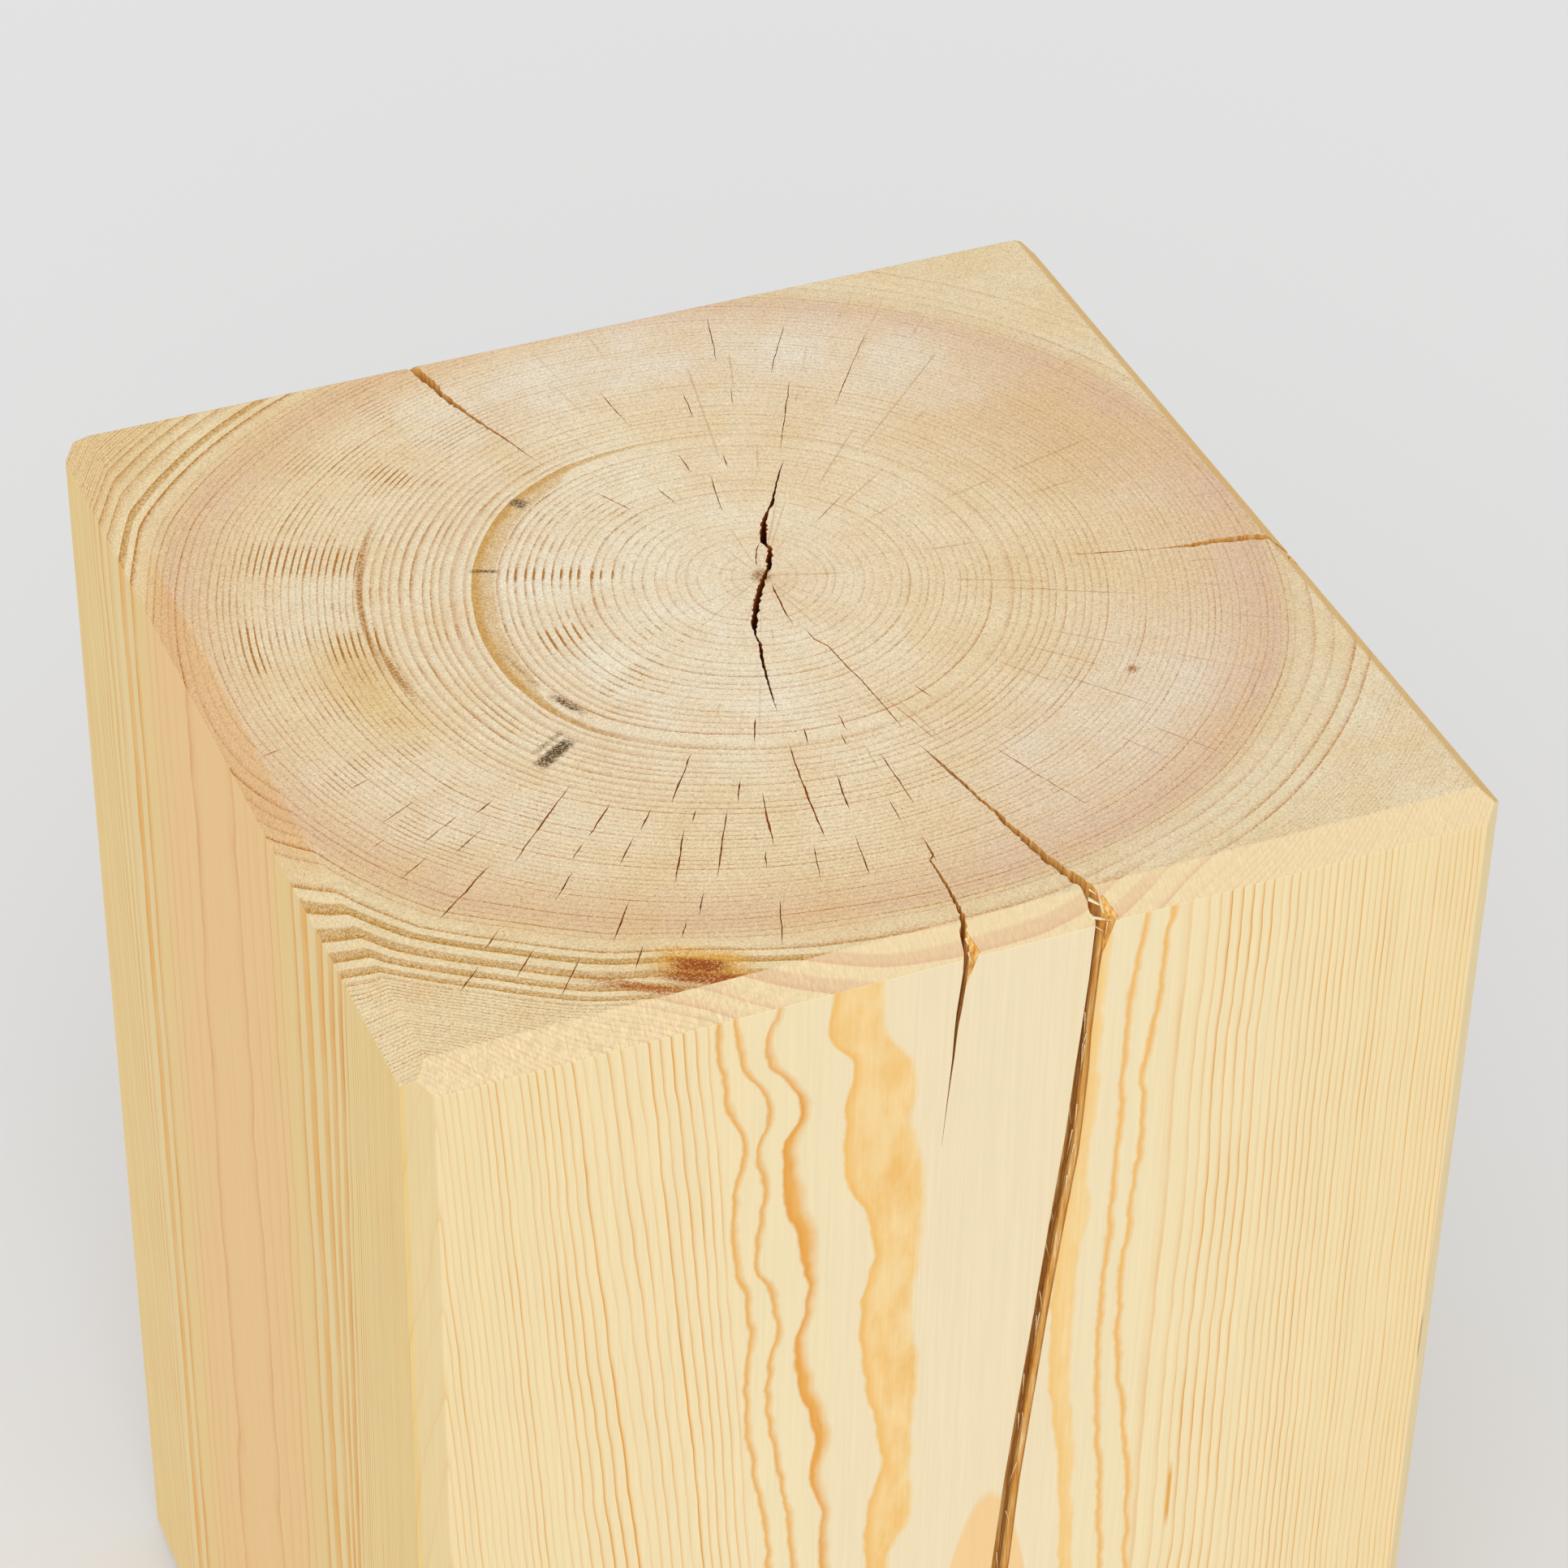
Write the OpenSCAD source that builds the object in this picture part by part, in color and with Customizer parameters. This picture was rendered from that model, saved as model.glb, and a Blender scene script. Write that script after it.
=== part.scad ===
// Sawn block of pine with the heart inside, standing on its end grain, opened by drying checks
// All sizes are in millimetres. The origin is the middle of the underside, +Z is up and runs
// along the grain, and the front face looks along -Y.

/* [Block] */
// Width of the block, left to right
block_w = 300; // [200:1:400]
// Depth of the block, front to back
block_d = 297; // [200:1:400]
// Height of the block, along the grain
block_h = 440; // [250:1:700]
// Leg of the chamfer along all twelve edges
edge_chamfer = 7; // [2:0.5:15]

/* [Heart check] */
// Place of the pith, right of the middle
pith_x = 7; // [-30:0.5:30]
// Place of the pith, behind the middle
pith_y = 11; // [-30:0.5:30]
// Opening at the widest
heart_check_w = 2; // [1:0.1:5]
// Reach behind the pith
heart_reach_back = 50; // [20:1:60]
// Reach in front of the pith
heart_reach_front = 58; // [20:1:60]
// Depth below the top
heart_check_depth = 60; // [10:1:200]

/* [Long front check] */
// Place at the top of the front face, right of the middle
long_check_x = 33; // [-40:0.5:60]
// Opening on the front face at the top
long_check_top_w = 3.2; // [1:0.1:8]
// Opening on the front face once it has widened
long_check_w = 5; // [1:0.1:10]
// Length down the face over which it widens
long_check_widening = 85; // [20:1:200]
// Reach into the wood from the front face
long_check_reach = 80; // [30:1:100]
// How soon it closes inwards: 1 is evenly, more is sooner
long_check_taper = 2.5; // [0.5:0.1:4]
// Turn from square to the front face, towards the left as it goes in, in degrees
long_check_turn = 12.5; // [0:0.5:20]
// Lean on the front face, towards the left at the foot, in degrees
long_check_lean = 4.7; // [0:0.1:8]

/* [Short front check] */
// Place at the top of the front face, right of the middle
short_check_x = -4; // [-60:0.5:10]
// Opening on the front face at the top
short_check_w = 1.8; // [0.5:0.1:5]
// Reach into the wood from the front face
short_check_reach = 33; // [10:1:60]
// How soon it closes inwards: 1 is evenly, more is sooner
short_check_taper = 1.5; // [0.5:0.1:4]
// Turn from square to the front face, towards the left as it goes in, in degrees
short_check_turn = -5.5; // [-20:0.5:10]
// Length down the front face
short_check_length = 68; // [20:1:200]
// Shift towards the left at its lower end
short_check_shift = 4.5; // [0:0.5:15]

/* [Back check] */
// Place on the back edge, right of the middle
back_check_x = -49.5; // [-100:0.5:100]
// Opening on the back face at the top
back_check_w = 2.9; // [0.5:0.1:6]
// Reach into the wood from the back face
back_check_reach = 72; // [20:1:80]
// How soon it closes inwards: 1 is evenly, more is sooner
back_check_taper = 1.3; // [0.5:0.1:4]
// Turn from square to the back face, towards the right of the block as it goes in, in degrees
back_check_turn = 16.5; // [0:0.5:30]
// Length down the back face
back_check_length = 90; // [20:1:200]

/* [Right check] */
// Place on the right edge, behind the middle
right_check_y = -24; // [-80:0.5:80]
// Opening on the right face at the top
right_check_w = 2.9; // [0.5:0.1:6]
// Reach into the wood from the right face
right_check_reach = 40; // [15:1:60]
// How soon it closes inwards: 1 is evenly, more is sooner
right_check_taper = 0.7; // [0.5:0.1:4]
// Turn from square to the right face, towards the back as it goes in, in degrees
right_check_turn = 11.5; // [0:0.5:30]
// Length down the right face
right_check_length = 90; // [20:1:200]

/* [Hidden] */

// How far a cut runs past the surface that it opens
past = 12;
// Straight stretches in the side of a check
check_steps = 6;

// Bends of the heart check behind and in front of the pith: the distance from it as a share of the
// reach, the shift to the right as a share of the reach, and the opening as a share of the widest
heart_bends_behind = [
    [1, 0.55, 0],
    [0.62, 0.33, 0.45],
    [0.46, 0.2, 1],
    [0.22, 0.13, 0.8],
];
heart_bends_in_front = [
    [0.17, -0.1, 1],
    [0.36, -0.18, 0.7],
    [0.65, -0.26, 0.4],
    [1, -0.34, 0],
];

// Centre line of the heart check, from its tip behind the pith to its tip in front of it
heart_line = concat(
    [for (b = heart_bends_behind)
        [b[1] * heart_reach_back, b[0] * heart_reach_back, b[2] * heart_check_w]],
    [for (b = heart_bends_in_front)
        [b[1] * heart_reach_front, -b[0] * heart_reach_front, b[2] * heart_check_w]]
);

// Centre line of a check that opens at a face: from past the mouth inwards along +Y to its tip
function inward_line(width, reach, taper) = concat(
    [[0, -past, width]],
    [for (i = [0:check_steps])
        [0, reach * i / check_steps, width * pow(1 - i / check_steps, taper)]]
);

// Outline of a check around its centre line of points [x, y, opening]; a closed end is one point
function check_outline(line) = concat(
    [for (p = line) [p[0] - p[2] / 2, p[1]]],
    [for (i = [len(line) - 1:-1:0])
        if (line[i][2] > 0) [line[i][0] + line[i][2] / 2, line[i][1]]]
);

// Rectangle about the middle with its four corners cut by the chamfer
module chamfered_section(across, along) {
    x = across / 2;
    y = along / 2;
    c = edge_chamfer;
    polygon([
        [c - x, -y], [x - c, -y], [x, c - y], [x, y - c],
        [x - c, y], [c - x, y], [-x, y - c], [-x, c - y]
    ]);
}

// Block with all twelve edges chamfered: what its plan, front and side sections have in common
module sawn_block() {
    translate([0, 0, block_h / 2])
        intersection() {
            linear_extrude(height = block_h, center = true)
                chamfered_section(block_w, block_d);
            rotate([90, 0, 0])
                linear_extrude(height = block_d, center = true)
                    chamfered_section(block_w, block_h);
            rotate([90, 0, 90])
                linear_extrude(height = block_w, center = true)
                    chamfered_section(block_d, block_h);
        }
}

// Space of a check whose mouth is at the origin, on top, with the wood towards +Y: the plan closes
// inwards, and the outline on the face, given in x and z, bounds it downwards
module check_space(width, reach, taper, length, face_outline) {
    intersection() {
        translate([0, 0, -length])
            linear_extrude(height = length + past)
                polygon(check_outline(inward_line(width, reach, taper)));
        rotate([90, 0, 0])
            linear_extrude(height = 2 * (reach + past), center = true)
                polygon(face_outline);
    }
}

// Check that runs down its face to a point, shifted sideways there
module pointed_check(width, reach, taper, length, shift = 0) {
    check_space(width, reach, taper, length, [
        [-width / 2, past],
        [-width / 2, 0],
        [shift, -length],
        [width / 2, 0],
        [width / 2, past]
    ]);
}

// Check through the pith, open at the top only
module heart_check() {
    translate([pith_x, pith_y, block_h - heart_check_depth])
        linear_extrude(height = heart_check_depth + past)
            polygon(check_outline(heart_line));
}

// Check down the whole front face, leaning, and wider below than at the top
module long_front_check() {
    foot = block_h / cos(long_check_lean) + past;
    translate([long_check_x, -block_d / 2, block_h])
        rotate([0, long_check_lean, 0])
            rotate([0, 0, long_check_turn])
                check_space(long_check_w, long_check_reach, long_check_taper, foot, [
                    [-long_check_top_w / 2, past],
                    [-long_check_top_w / 2, 0],
                    [-long_check_w / 2, -long_check_widening],
                    [-long_check_w / 2, -foot],
                    [long_check_w / 2, -foot],
                    [long_check_w / 2, -long_check_widening],
                    [long_check_top_w / 2, 0],
                    [long_check_top_w / 2, past]
                ]);
}

module short_front_check() {
    translate([short_check_x, -block_d / 2, block_h])
        rotate([0, 0, short_check_turn])
            pointed_check(short_check_w, short_check_reach, short_check_taper,
                short_check_length, -short_check_shift);
}

module back_check() {
    translate([back_check_x, block_d / 2, block_h])
        rotate([0, 0, 180 + back_check_turn])
            pointed_check(back_check_w, back_check_reach, back_check_taper, back_check_length);
}

module right_check() {
    translate([block_w / 2, right_check_y, block_h])
        rotate([0, 0, 90 - right_check_turn])
            pointed_check(right_check_w, right_check_reach, right_check_taper, right_check_length);
}

// The one piece: the sawn block less its five open checks
module wood_block() {
    color("#ecd9ab")
        difference() {
            sawn_block();
            heart_check();
            long_front_check();
            short_front_check();
            back_check();
            right_check();
        }
}

wood_block();
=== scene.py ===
# Sawn block of pine with the heart inside, standing on its end grain, opened by drying checks
# Lengths are in millimetres, x to the right, y to the back and z up from the floor; what goes to
# Blender is turned to metres by METRE

import math
import random

import bmesh
import bpy
from mathutils import Matrix, Vector


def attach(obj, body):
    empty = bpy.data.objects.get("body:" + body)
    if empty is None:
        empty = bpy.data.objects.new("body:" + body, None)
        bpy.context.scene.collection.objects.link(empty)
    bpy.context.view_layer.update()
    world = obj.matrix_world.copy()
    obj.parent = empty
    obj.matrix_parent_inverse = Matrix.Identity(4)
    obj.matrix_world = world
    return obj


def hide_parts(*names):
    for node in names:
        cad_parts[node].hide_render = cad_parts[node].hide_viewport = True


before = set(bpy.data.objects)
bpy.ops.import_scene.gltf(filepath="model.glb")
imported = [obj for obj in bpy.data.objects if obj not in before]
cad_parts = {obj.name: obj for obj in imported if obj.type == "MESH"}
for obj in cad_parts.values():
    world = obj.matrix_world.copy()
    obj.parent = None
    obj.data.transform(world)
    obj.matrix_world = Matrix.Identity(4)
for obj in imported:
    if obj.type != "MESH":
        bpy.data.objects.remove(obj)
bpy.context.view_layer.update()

METRE = 0.001
BLOCK_W = 300
BLOCK_D = 297
BLOCK_H = 440
EDGE_CHAMFER = 7
# Radius that planing and handling leave along each edge of the block
EDGE_WEAR = 0.4
# How far a cutter runs past the surface that it opens
PAST = 6

# Place of the pith
PITH_X = 7
PITH_Y = 10.9
# The front and left faces, and where the flat faces end at the upright edges
FRONT = -BLOCK_D / 2
LEFT = -BLOCK_W / 2
EDGE_X = BLOCK_W / 2 - EDGE_CHAMFER
EDGE_Y = BLOCK_D / 2 - EDGE_CHAMFER

# Surfaces of the block, in the order of its material slots
END_GRAIN, LONG_GRAIN, CHAMFER, TORN, SLIT = range(5)


def linear(code):
    """Linear colour with alpha from an sRGB hex code."""
    channels = [int(code[i:i + 2], 16) / 255 for i in (1, 3, 5)]
    return [c / 12.92 if c <= 0.04045 else ((c + 0.055) / 1.055) ** 2.4 for c in channels] + [1.0]


def in_use(sockets):
    """Inputs or outputs of a node that its settings leave in use."""
    return [socket for socket in sockets if socket.enabled]


def put(tree, kind, links=None, operation=None, points=None, stops=None, bend="VECTOR", **settings):
    """Adds a node with its settings and links, and the points of its curve or stops of its ramp.

    A key of links is the number or the name of an input in use; a value is a constant, an output or a
    node, which stands for its first output in use. A curve is straight between its points unless bend is
    AUTO."""
    node = tree.nodes.new(kind if kind.startswith("Node") else "ShaderNode" + kind)
    if operation:
        node.operation = operation
    for name, value in settings.items():
        setattr(node, name, value)
    inputs = in_use(node.inputs)
    for key, value in (links or {}).items():
        socket = inputs[key] if isinstance(key, int) else next(s for s in inputs if s.name == key)
        if isinstance(value, bpy.types.Node):
            value = in_use(value.outputs)[0]
        if isinstance(value, bpy.types.NodeSocket):
            tree.links.new(value, socket)
        else:
            socket.default_value = value
    if points:
        curve = node.mapping.curves[0]
        while len(curve.points) < len(points):
            curve.points.new(0.5, 0.5)
        for point, (x, y) in zip(curve.points, points):
            point.location = (x, y)
            point.handle_type = bend
        node.mapping.update()
    if stops:
        elements = node.color_ramp.elements
        while len(elements) < len(stops):
            elements.new(0.5)
        for element, (place, code) in zip(elements, stops):
            element.position = place
            element.color = linear(code)
    return node


# The photograph's camera, found from the block's edges: turn, tilt and roll in degrees, the shift of
# the middle of the block's top from the middle of the frame, and the distance to it
PHOTO_SIDE_PIXELS = 1932
FOCAL_PIXELS = 6150.91
CAMERA_TURN = -23.4665
CAMERA_TILT = 38.14
CAMERA_ROLL = 1.2243
CAMERA_SHIFT_RIGHT = -8.3
CAMERA_SHIFT_UP = 48.4
CAMERA_DISTANCE = 1339.1
SENSOR_SIDE = 36
# How far the camera sees, in metres
CAMERA_REACH = 100


def photo_camera():
    turn, tilt, roll = (math.radians(a) for a in (CAMERA_TURN, CAMERA_TILT, CAMERA_ROLL))
    back = Vector((math.sin(turn) * math.cos(tilt), -math.cos(turn) * math.cos(tilt), math.sin(tilt)))
    level = Vector((math.cos(turn), math.sin(turn), 0))
    upright = back.cross(level)
    right = level * math.cos(roll) + upright * math.sin(roll)
    up = upright * math.cos(roll) - level * math.sin(roll)
    top_middle = Vector((0, 0, BLOCK_H))
    eye = top_middle - right * CAMERA_SHIFT_RIGHT - up * CAMERA_SHIFT_UP + back * CAMERA_DISTANCE
    data = bpy.data.cameras.new("camera")
    data.sensor_width = SENSOR_SIDE
    data.lens = SENSOR_SIDE * FOCAL_PIXELS / PHOTO_SIDE_PIXELS
    data.clip_end = CAMERA_REACH
    camera = bpy.data.objects.new("camera", data)
    camera.matrix_world = (
        Matrix.Translation(eye * METRE) @ Matrix((right, up, back)).transposed().to_4x4())
    bpy.context.collection.objects.link(camera)
    bpy.context.scene.camera = camera


# Growth rings of this log, by the distance from the pith to the left, where they are widest
RING_REACH = 240
RINGS_IN_REACH = 120
# Distance and the count of rings there
RING_COUNT = [
    (0, 0), (50, 17), (72, 26), (79, 27), (104, 36), (106.2, 37), (109.2, 38), (150, 59), (167, 67),
    (172.7, 68), (177.4, 69), (183.4, 70), (188.3, 71), (192.2, 72), (194.3, 73), (228.6, 102.6),
    (240, 112),
]
# Width of the rings as a share of that, by direction in degrees from the right, turning to the back:
# near the heart, in the outer heartwood, and at the faces of the block
WIDEST_SHARE = 1.2
SHARE_NEAR_HEART = [
    (0, 0.86), (30, 0.85), (60, 0.86), (90, 0.885), (102, 0.91), (114, 0.945), (132, 0.975),
    (150, 0.985), (170, 1), (186, 1.025), (194, 1.04), (207, 1.055), (215, 1.05), (240, 0.985),
    (270, 0.945), (300, 0.895), (330, 0.865), (360, 0.86),
]
SHARE_FURTHER_OUT = [
    (0, 0.836), (60, 0.836), (90, 0.85), (120, 0.91), (140, 0.965), (150, 0.99), (180, 1), (210, 1),
    (225, 0.97), (240, 0.93), (248, 0.905), (255, 0.885), (260, 0.878), (270, 0.872), (280, 0.87),
    (295, 0.877), (302, 0.877), (317, 0.871), (325, 0.868), (333, 0.858), (345, 0.845), (360, 0.836),
]
SHARE_AT_FACES = [
    (0, 0.836), (60, 0.836), (90, 0.85), (120, 0.91), (140, 0.965), (150, 0.99), (180, 1), (210, 1),
    (218, 0.995), (226, 0.965), (234, 0.948), (239, 0.925), (243, 0.914), (254, 0.906), (259, 0.903),
    (263, 0.898), (268, 0.895), (274, 0.895), (278, 0.893), (281, 0.8855), (285, 0.877), (288, 0.871),
    (291, 0.8705), (296, 0.8745), (302, 0.8765), (317, 0.877), (328, 0.877), (334, 0.868), (345, 0.85),
    (360, 0.836),
]
# Darkness across one ring, from its spring edge to its autumn edge: most rings, and the broad ones
RING_PROFILE = [(0, 0.05), (0.04, 0), (0.6, 0.03), (0.82, 0.4), (0.92, 1), (0.985, 0.9), (1, 0.05)]
BROAD_PROFILE = [
    (0, 0.05), (0.03, 0), (0.42, 0), (0.52, 0.6), (0.8, 0.7), (0.92, 1), (0.985, 0.95), (1, 0.05),
]
# The tree grew thinner downwards here, by this share per millimetre, and leans right at the front
TAPER = 0.00007
LEAN = 0.034
# Single years: number of the ring, how far the mark reaches from it, and its strength by direction as a
# share of a full turn. At the left and the front the young sapwood grew a few rings of broad, strong
# autumn wood: all four in the corner between, the first from the back left to the front, the next at the
# front too
BROAD_YEARS_HERE = [
    (0, 0), (0.3, 0), (0.34, 0.4), (0.47, 0.4), (0.54, 1), (0.66, 0.9), (0.69, 0.2), (0.75, 0.2),
    (0.78, 0), (1, 0),
]
BROAD_YEARS = [
    (68, 0.5, ((0.3, 0), (0.34, 1), (0.77, 1), (0.8, 0))),
    (69, 0.5, ((0.64, 0), (0.67, 1), (0.79, 1), (0.8, 0))),
]
# Other years left clear lines: one at the back left, two at the front left, two at the front right
CLEAR_YEARS = [
    (67, 0.5, ((0.3, 0), (0.34, 1), (0.5, 1), (0.54, 0))),
    (71.5, 0.6, ((0.65, 0), (0.67, 1), (0.73, 1), (0.76, 0))),
    (69.5, 0.6, ((0.81, 0), (0.83, 0.8), (0.91, 0.8), (0.94, 0))),
]
# Number of the broad ring of olive-brown wood
BROWN_YEAR = 26


def millimetre_place(tree):
    """Place on a piece in millimetres."""
    return put(tree, "VectorMath", {
        0: put(tree, "TexCoord").outputs["Object"], "Scale": 1 / METRE}, "SCALE")


def wood_noise(tree, place, lengths, detail, roughness=0.5):
    """Noise in patches of these lengths in millimetres: to the right, to the back and upwards."""
    stretched = put(tree, "VectorMath", {
        0: place, 1: tuple(1 / length for length in lengths)}, "MULTIPLY")
    return put(tree, "TexNoise", {
        "Vector": stretched, "Scale": 1.0, "Detail": detail, "Roughness": roughness})


def with_years(tree, mask, ring, turn, years):
    """Mask that takes in some single years too."""
    for number, reach, turns in years:
        one_year = put(tree, "Math", {
            0: put(tree, "Math", {0: ring, 1: number, 2: reach}, "COMPARE"),
            1: put(tree, "FloatCurve", {"Value": turn}, points=[(0, 0), *turns, (1, 0)])}, "MULTIPLY")
        mask = put(tree, "Math", {0: mask, 1: one_year}, "MAXIMUM")
    return mask


def growth_rings():
    """Group of nodes that gives each point of the log its ring, so that all faces agree."""
    tree = bpy.data.node_groups.new("growth_rings", "ShaderNodeTree")
    for name in ("Late wood", "Profile", "Within", "Broad", "Strong", "Ring", "Heart radius", "Turn",
                 "Radius", "Depth"):
        tree.interface.new_socket(name=name, in_out="OUTPUT", socket_type="NodeSocketFloat")
    tree.interface.new_socket(name="Place", in_out="OUTPUT", socket_type="NodeSocketVector")

    place = millimetre_place(tree)
    axes = put(tree, "SeparateXYZ", {0: place}).outputs
    depth = put(tree, "Math", {0: float(BLOCK_H), 1: axes["Z"]}, "SUBTRACT")
    from_x = put(tree, "Math", {0: axes["X"], 1: PITH_X}, "SUBTRACT")
    from_y = put(tree, "Math", {0: axes["Y"], 1: PITH_Y}, "SUBTRACT")
    radius = put(tree, "VectorMath", {0: put(tree, "CombineXYZ", {0: from_x, 1: from_y})}, "LENGTH")
    turn = put(tree, "Math", {
        0: put(tree, "Math", {
            0: put(tree, "Math", {0: from_y, 1: from_x}, "ARCTAN2"),
            1: 1 / math.tau, 2: 1}, "MULTIPLY_ADD")}, "FRACT")

    shares = [
        put(tree, "Math", {
            0: put(tree, "FloatCurve", {"Value": turn}, points=[
                (angle / 360, share / WIDEST_SHARE) for angle, share in table]),
            1: WIDEST_SHARE}, "MULTIPLY")
        for table in (SHARE_NEAR_HEART, SHARE_FURTHER_OUT, SHARE_AT_FACES)]
    share = put(tree, "Mix", {
        0: put(tree, "MapRange", {"Value": radius, "From Min": 75, "From Max": 150}),
        1: shares[0], 2: shares[1]})
    share = put(tree, "Mix", {
        0: put(tree, "MapRange", {"Value": radius, "From Min": 147, "From Max": 158}),
        1: share, 2: shares[2]})
    heart_radius = put(tree, "Math", {0: radius, 1: share}, "DIVIDE")

    # Lower down the outer rings have come nearer to the pith, and at the front they lean to the right
    lean = put(tree, "MapRange", {
        "Value": axes["Y"], "From Min": -105, "From Max": -145, "To Min": 0.35 * LEAN,
        "To Max": LEAN}, interpolation_type="SMOOTHSTEP")
    leaned_x = put(tree, "Math", {
        0: from_x, 1: put(tree, "Math", {0: depth, 1: lean}, "MULTIPLY")}, "SUBTRACT")
    leaned = put(tree, "VectorMath", {0: put(tree, "CombineXYZ", {0: leaned_x, 1: from_y})}, "LENGTH")
    thinner = put(tree, "Math", {0: depth, 1: -TAPER, 2: 1.0}, "MULTIPLY_ADD")
    outer_radius = put(tree, "Math", {
        0: put(tree, "Math", {0: leaned, 1: share}, "DIVIDE"), 1: thinner}, "DIVIDE")
    outermost = put(tree, "MapRange", {
        "Value": heart_radius, "From Min": 179, "From Max": 187}, interpolation_type="SMOOTHSTEP")
    grown = put(tree, "Mix", {0: outermost, 1: heart_radius, 2: outer_radius})

    # Rings of real wood are never true circles: they swell by up to a millimetre over 10 to 60 mm
    at_front = put(tree, "MapRange", {
        "Value": axes["Y"], "From Min": -100, "From Max": -135}, interpolation_type="SMOOTHSTEP")
    swell = wood_noise(tree, place, (60, 60, 42), 3.0)
    ring_radius = put(tree, "Math", {
        0: put(tree, "Math", {0: swell, 1: 0.5}, "SUBTRACT"),
        1: put(tree, "MapRange", {"Value": at_front, "To Min": 1.8, "To Max": 1.3}), 2: grown},
        "MULTIPLY_ADD")
    count = put(tree, "FloatCurve", {
        "Value": put(tree, "Math", {0: ring_radius, 1: float(RING_REACH)}, "DIVIDE")},
        points=[(r / RING_REACH, n / RINGS_IN_REACH) for r, n in RING_COUNT])
    uneven = put(tree, "TexNoise", {
        "W": put(tree, "Math", {0: ring_radius, 1: 1 / 6}, "MULTIPLY"), "Scale": 1.0},
        noise_dimensions="1D")
    unevenness = put(tree, "MapRange", {
        "Value": ring_radius, "From Min": 150, "From Max": 164, "To Min": 0.8, "To Max": 0})
    rings = put(tree, "Math", {
        0: put(tree, "Math", {0: uneven, 1: 0.5}, "SUBTRACT"), 1: unevenness,
        2: put(tree, "Math", {0: count, 1: float(RINGS_IN_REACH)}, "MULTIPLY")}, "MULTIPLY_ADD")
    ring = put(tree, "Math", {0: rings}, "FLOOR")
    within = put(tree, "Math", {0: rings}, "FRACT")

    broad_here = with_years(
        tree, put(tree, "FloatCurve", {"Value": turn}, points=BROAD_YEARS_HERE), ring, turn, BROAD_YEARS)
    broad = put(tree, "Math", {
        0: put(tree, "Math", {
            0: put(tree, "MapRange", {"Value": ring_radius, "From Min": 171.5, "From Max": 173}),
            1: put(tree, "MapRange", {"Value": ring_radius, "From Min": 195, "From Max": 192})},
            "MULTIPLY"),
        1: broad_here}, "MULTIPLY")
    strong = with_years(tree, 0.0, ring, turn, CLEAR_YEARS)
    profile = put(tree, "Mix", {
        0: broad, 1: put(tree, "FloatCurve", {"Value": within}, points=RING_PROFILE),
        2: put(tree, "FloatCurve", {"Value": within}, points=BROAD_PROFILE)})
    # Each ring has its own strength, and fades and gathers on its way round
    tone = put(tree, "MapRange", {
        "Value": put(tree, "TexWhiteNoise", {"W": ring}, noise_dimensions="1D"),
        "To Min": 0.35, "To Max": 1.1})
    way_round = put(tree, "CombineXYZ", {
        0: put(tree, "Math", {0: from_x, 1: radius}, "DIVIDE"),
        1: put(tree, "Math", {0: from_y, 1: radius}, "DIVIDE"),
        2: put(tree, "Math", {0: ring, 1: 0.73}, "MULTIPLY")})
    fade = put(tree, "MapRange", {
        "Value": put(tree, "TexNoise", {"Vector": way_round, "Scale": 3.0, "Detail": 2.0}),
        "From Min": 0.3, "From Max": 0.7, "To Min": 0.5, "To Max": 1.25})
    strength = put(tree, "Mix", {
        0: put(tree, "Math", {0: broad, 1: strong}, "MAXIMUM"),
        1: put(tree, "Math", {0: tone, 1: fade}, "MULTIPLY"), 2: 1.0})
    late = put(tree, "Math", {0: profile, 1: strength}, "MULTIPLY")

    put(tree, "NodeGroupOutput", {
        "Late wood": late, "Profile": profile, "Within": within, "Broad": broad, "Strong": strong,
        "Ring": ring, "Heart radius": heart_radius, "Turn": turn, "Radius": radius, "Depth": depth,
        "Place": place})
    return tree


def near(tree, value, middle, gone, full, most=1.0, **settings):
    """Mask that is full close to the middle value and gone further off."""
    off = put(tree, "Math", {0: put(tree, "Math", {0: value, 1: middle}, "SUBTRACT")}, "ABSOLUTE")
    return put(tree, "MapRange", {
        "Value": off, "From Min": gone, "From Max": full, "To Max": most}, **settings)


def soft_patch(tree, rings, turns, radii, soft_turn, soft_radius):
    """Mask of a stain between two directions in degrees and two distances from the pith."""
    sides = []
    for output, (low, high), soft, unit in (
            ("Turn", turns, soft_turn, 360), ("Radius", radii, soft_radius, 1)):
        half = (high - low) / 2
        sides.append(near(
            tree, rings[output], (low + high) / 2 / unit, (half + soft) / unit,
            max(half - soft, 0) / unit, interpolation_type="SMOOTHSTEP"))
    return put(tree, "Math", {0: sides[0], 1: sides[1]}, "MULTIPLY")


def new_finish(name, roughness, specular):
    """Material with a bare surface shader; returns it with its tree and the shader."""
    material = bpy.data.materials.new(name)
    material.use_nodes = True
    tree = material.node_tree
    shader = tree.nodes["Principled BSDF"]
    shader.inputs["Roughness"].default_value = roughness
    shader.inputs["Specular IOR Level"].default_value = specular
    return material, tree, shader


def dress(tree, shader, colour, relief=None, strength=0.0, height=0.0):
    """Gives a shader its colour and, where it has one, its relief with a height in millimetres."""
    tree.links.new(in_use(colour.outputs)[0], shader.inputs["Base Color"])
    if relief:
        bump = put(tree, "Bump", {"Strength": strength, "Distance": height * METRE, "Height": relief})
        tree.links.new(bump.outputs[0], shader.inputs["Normal"])


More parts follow.
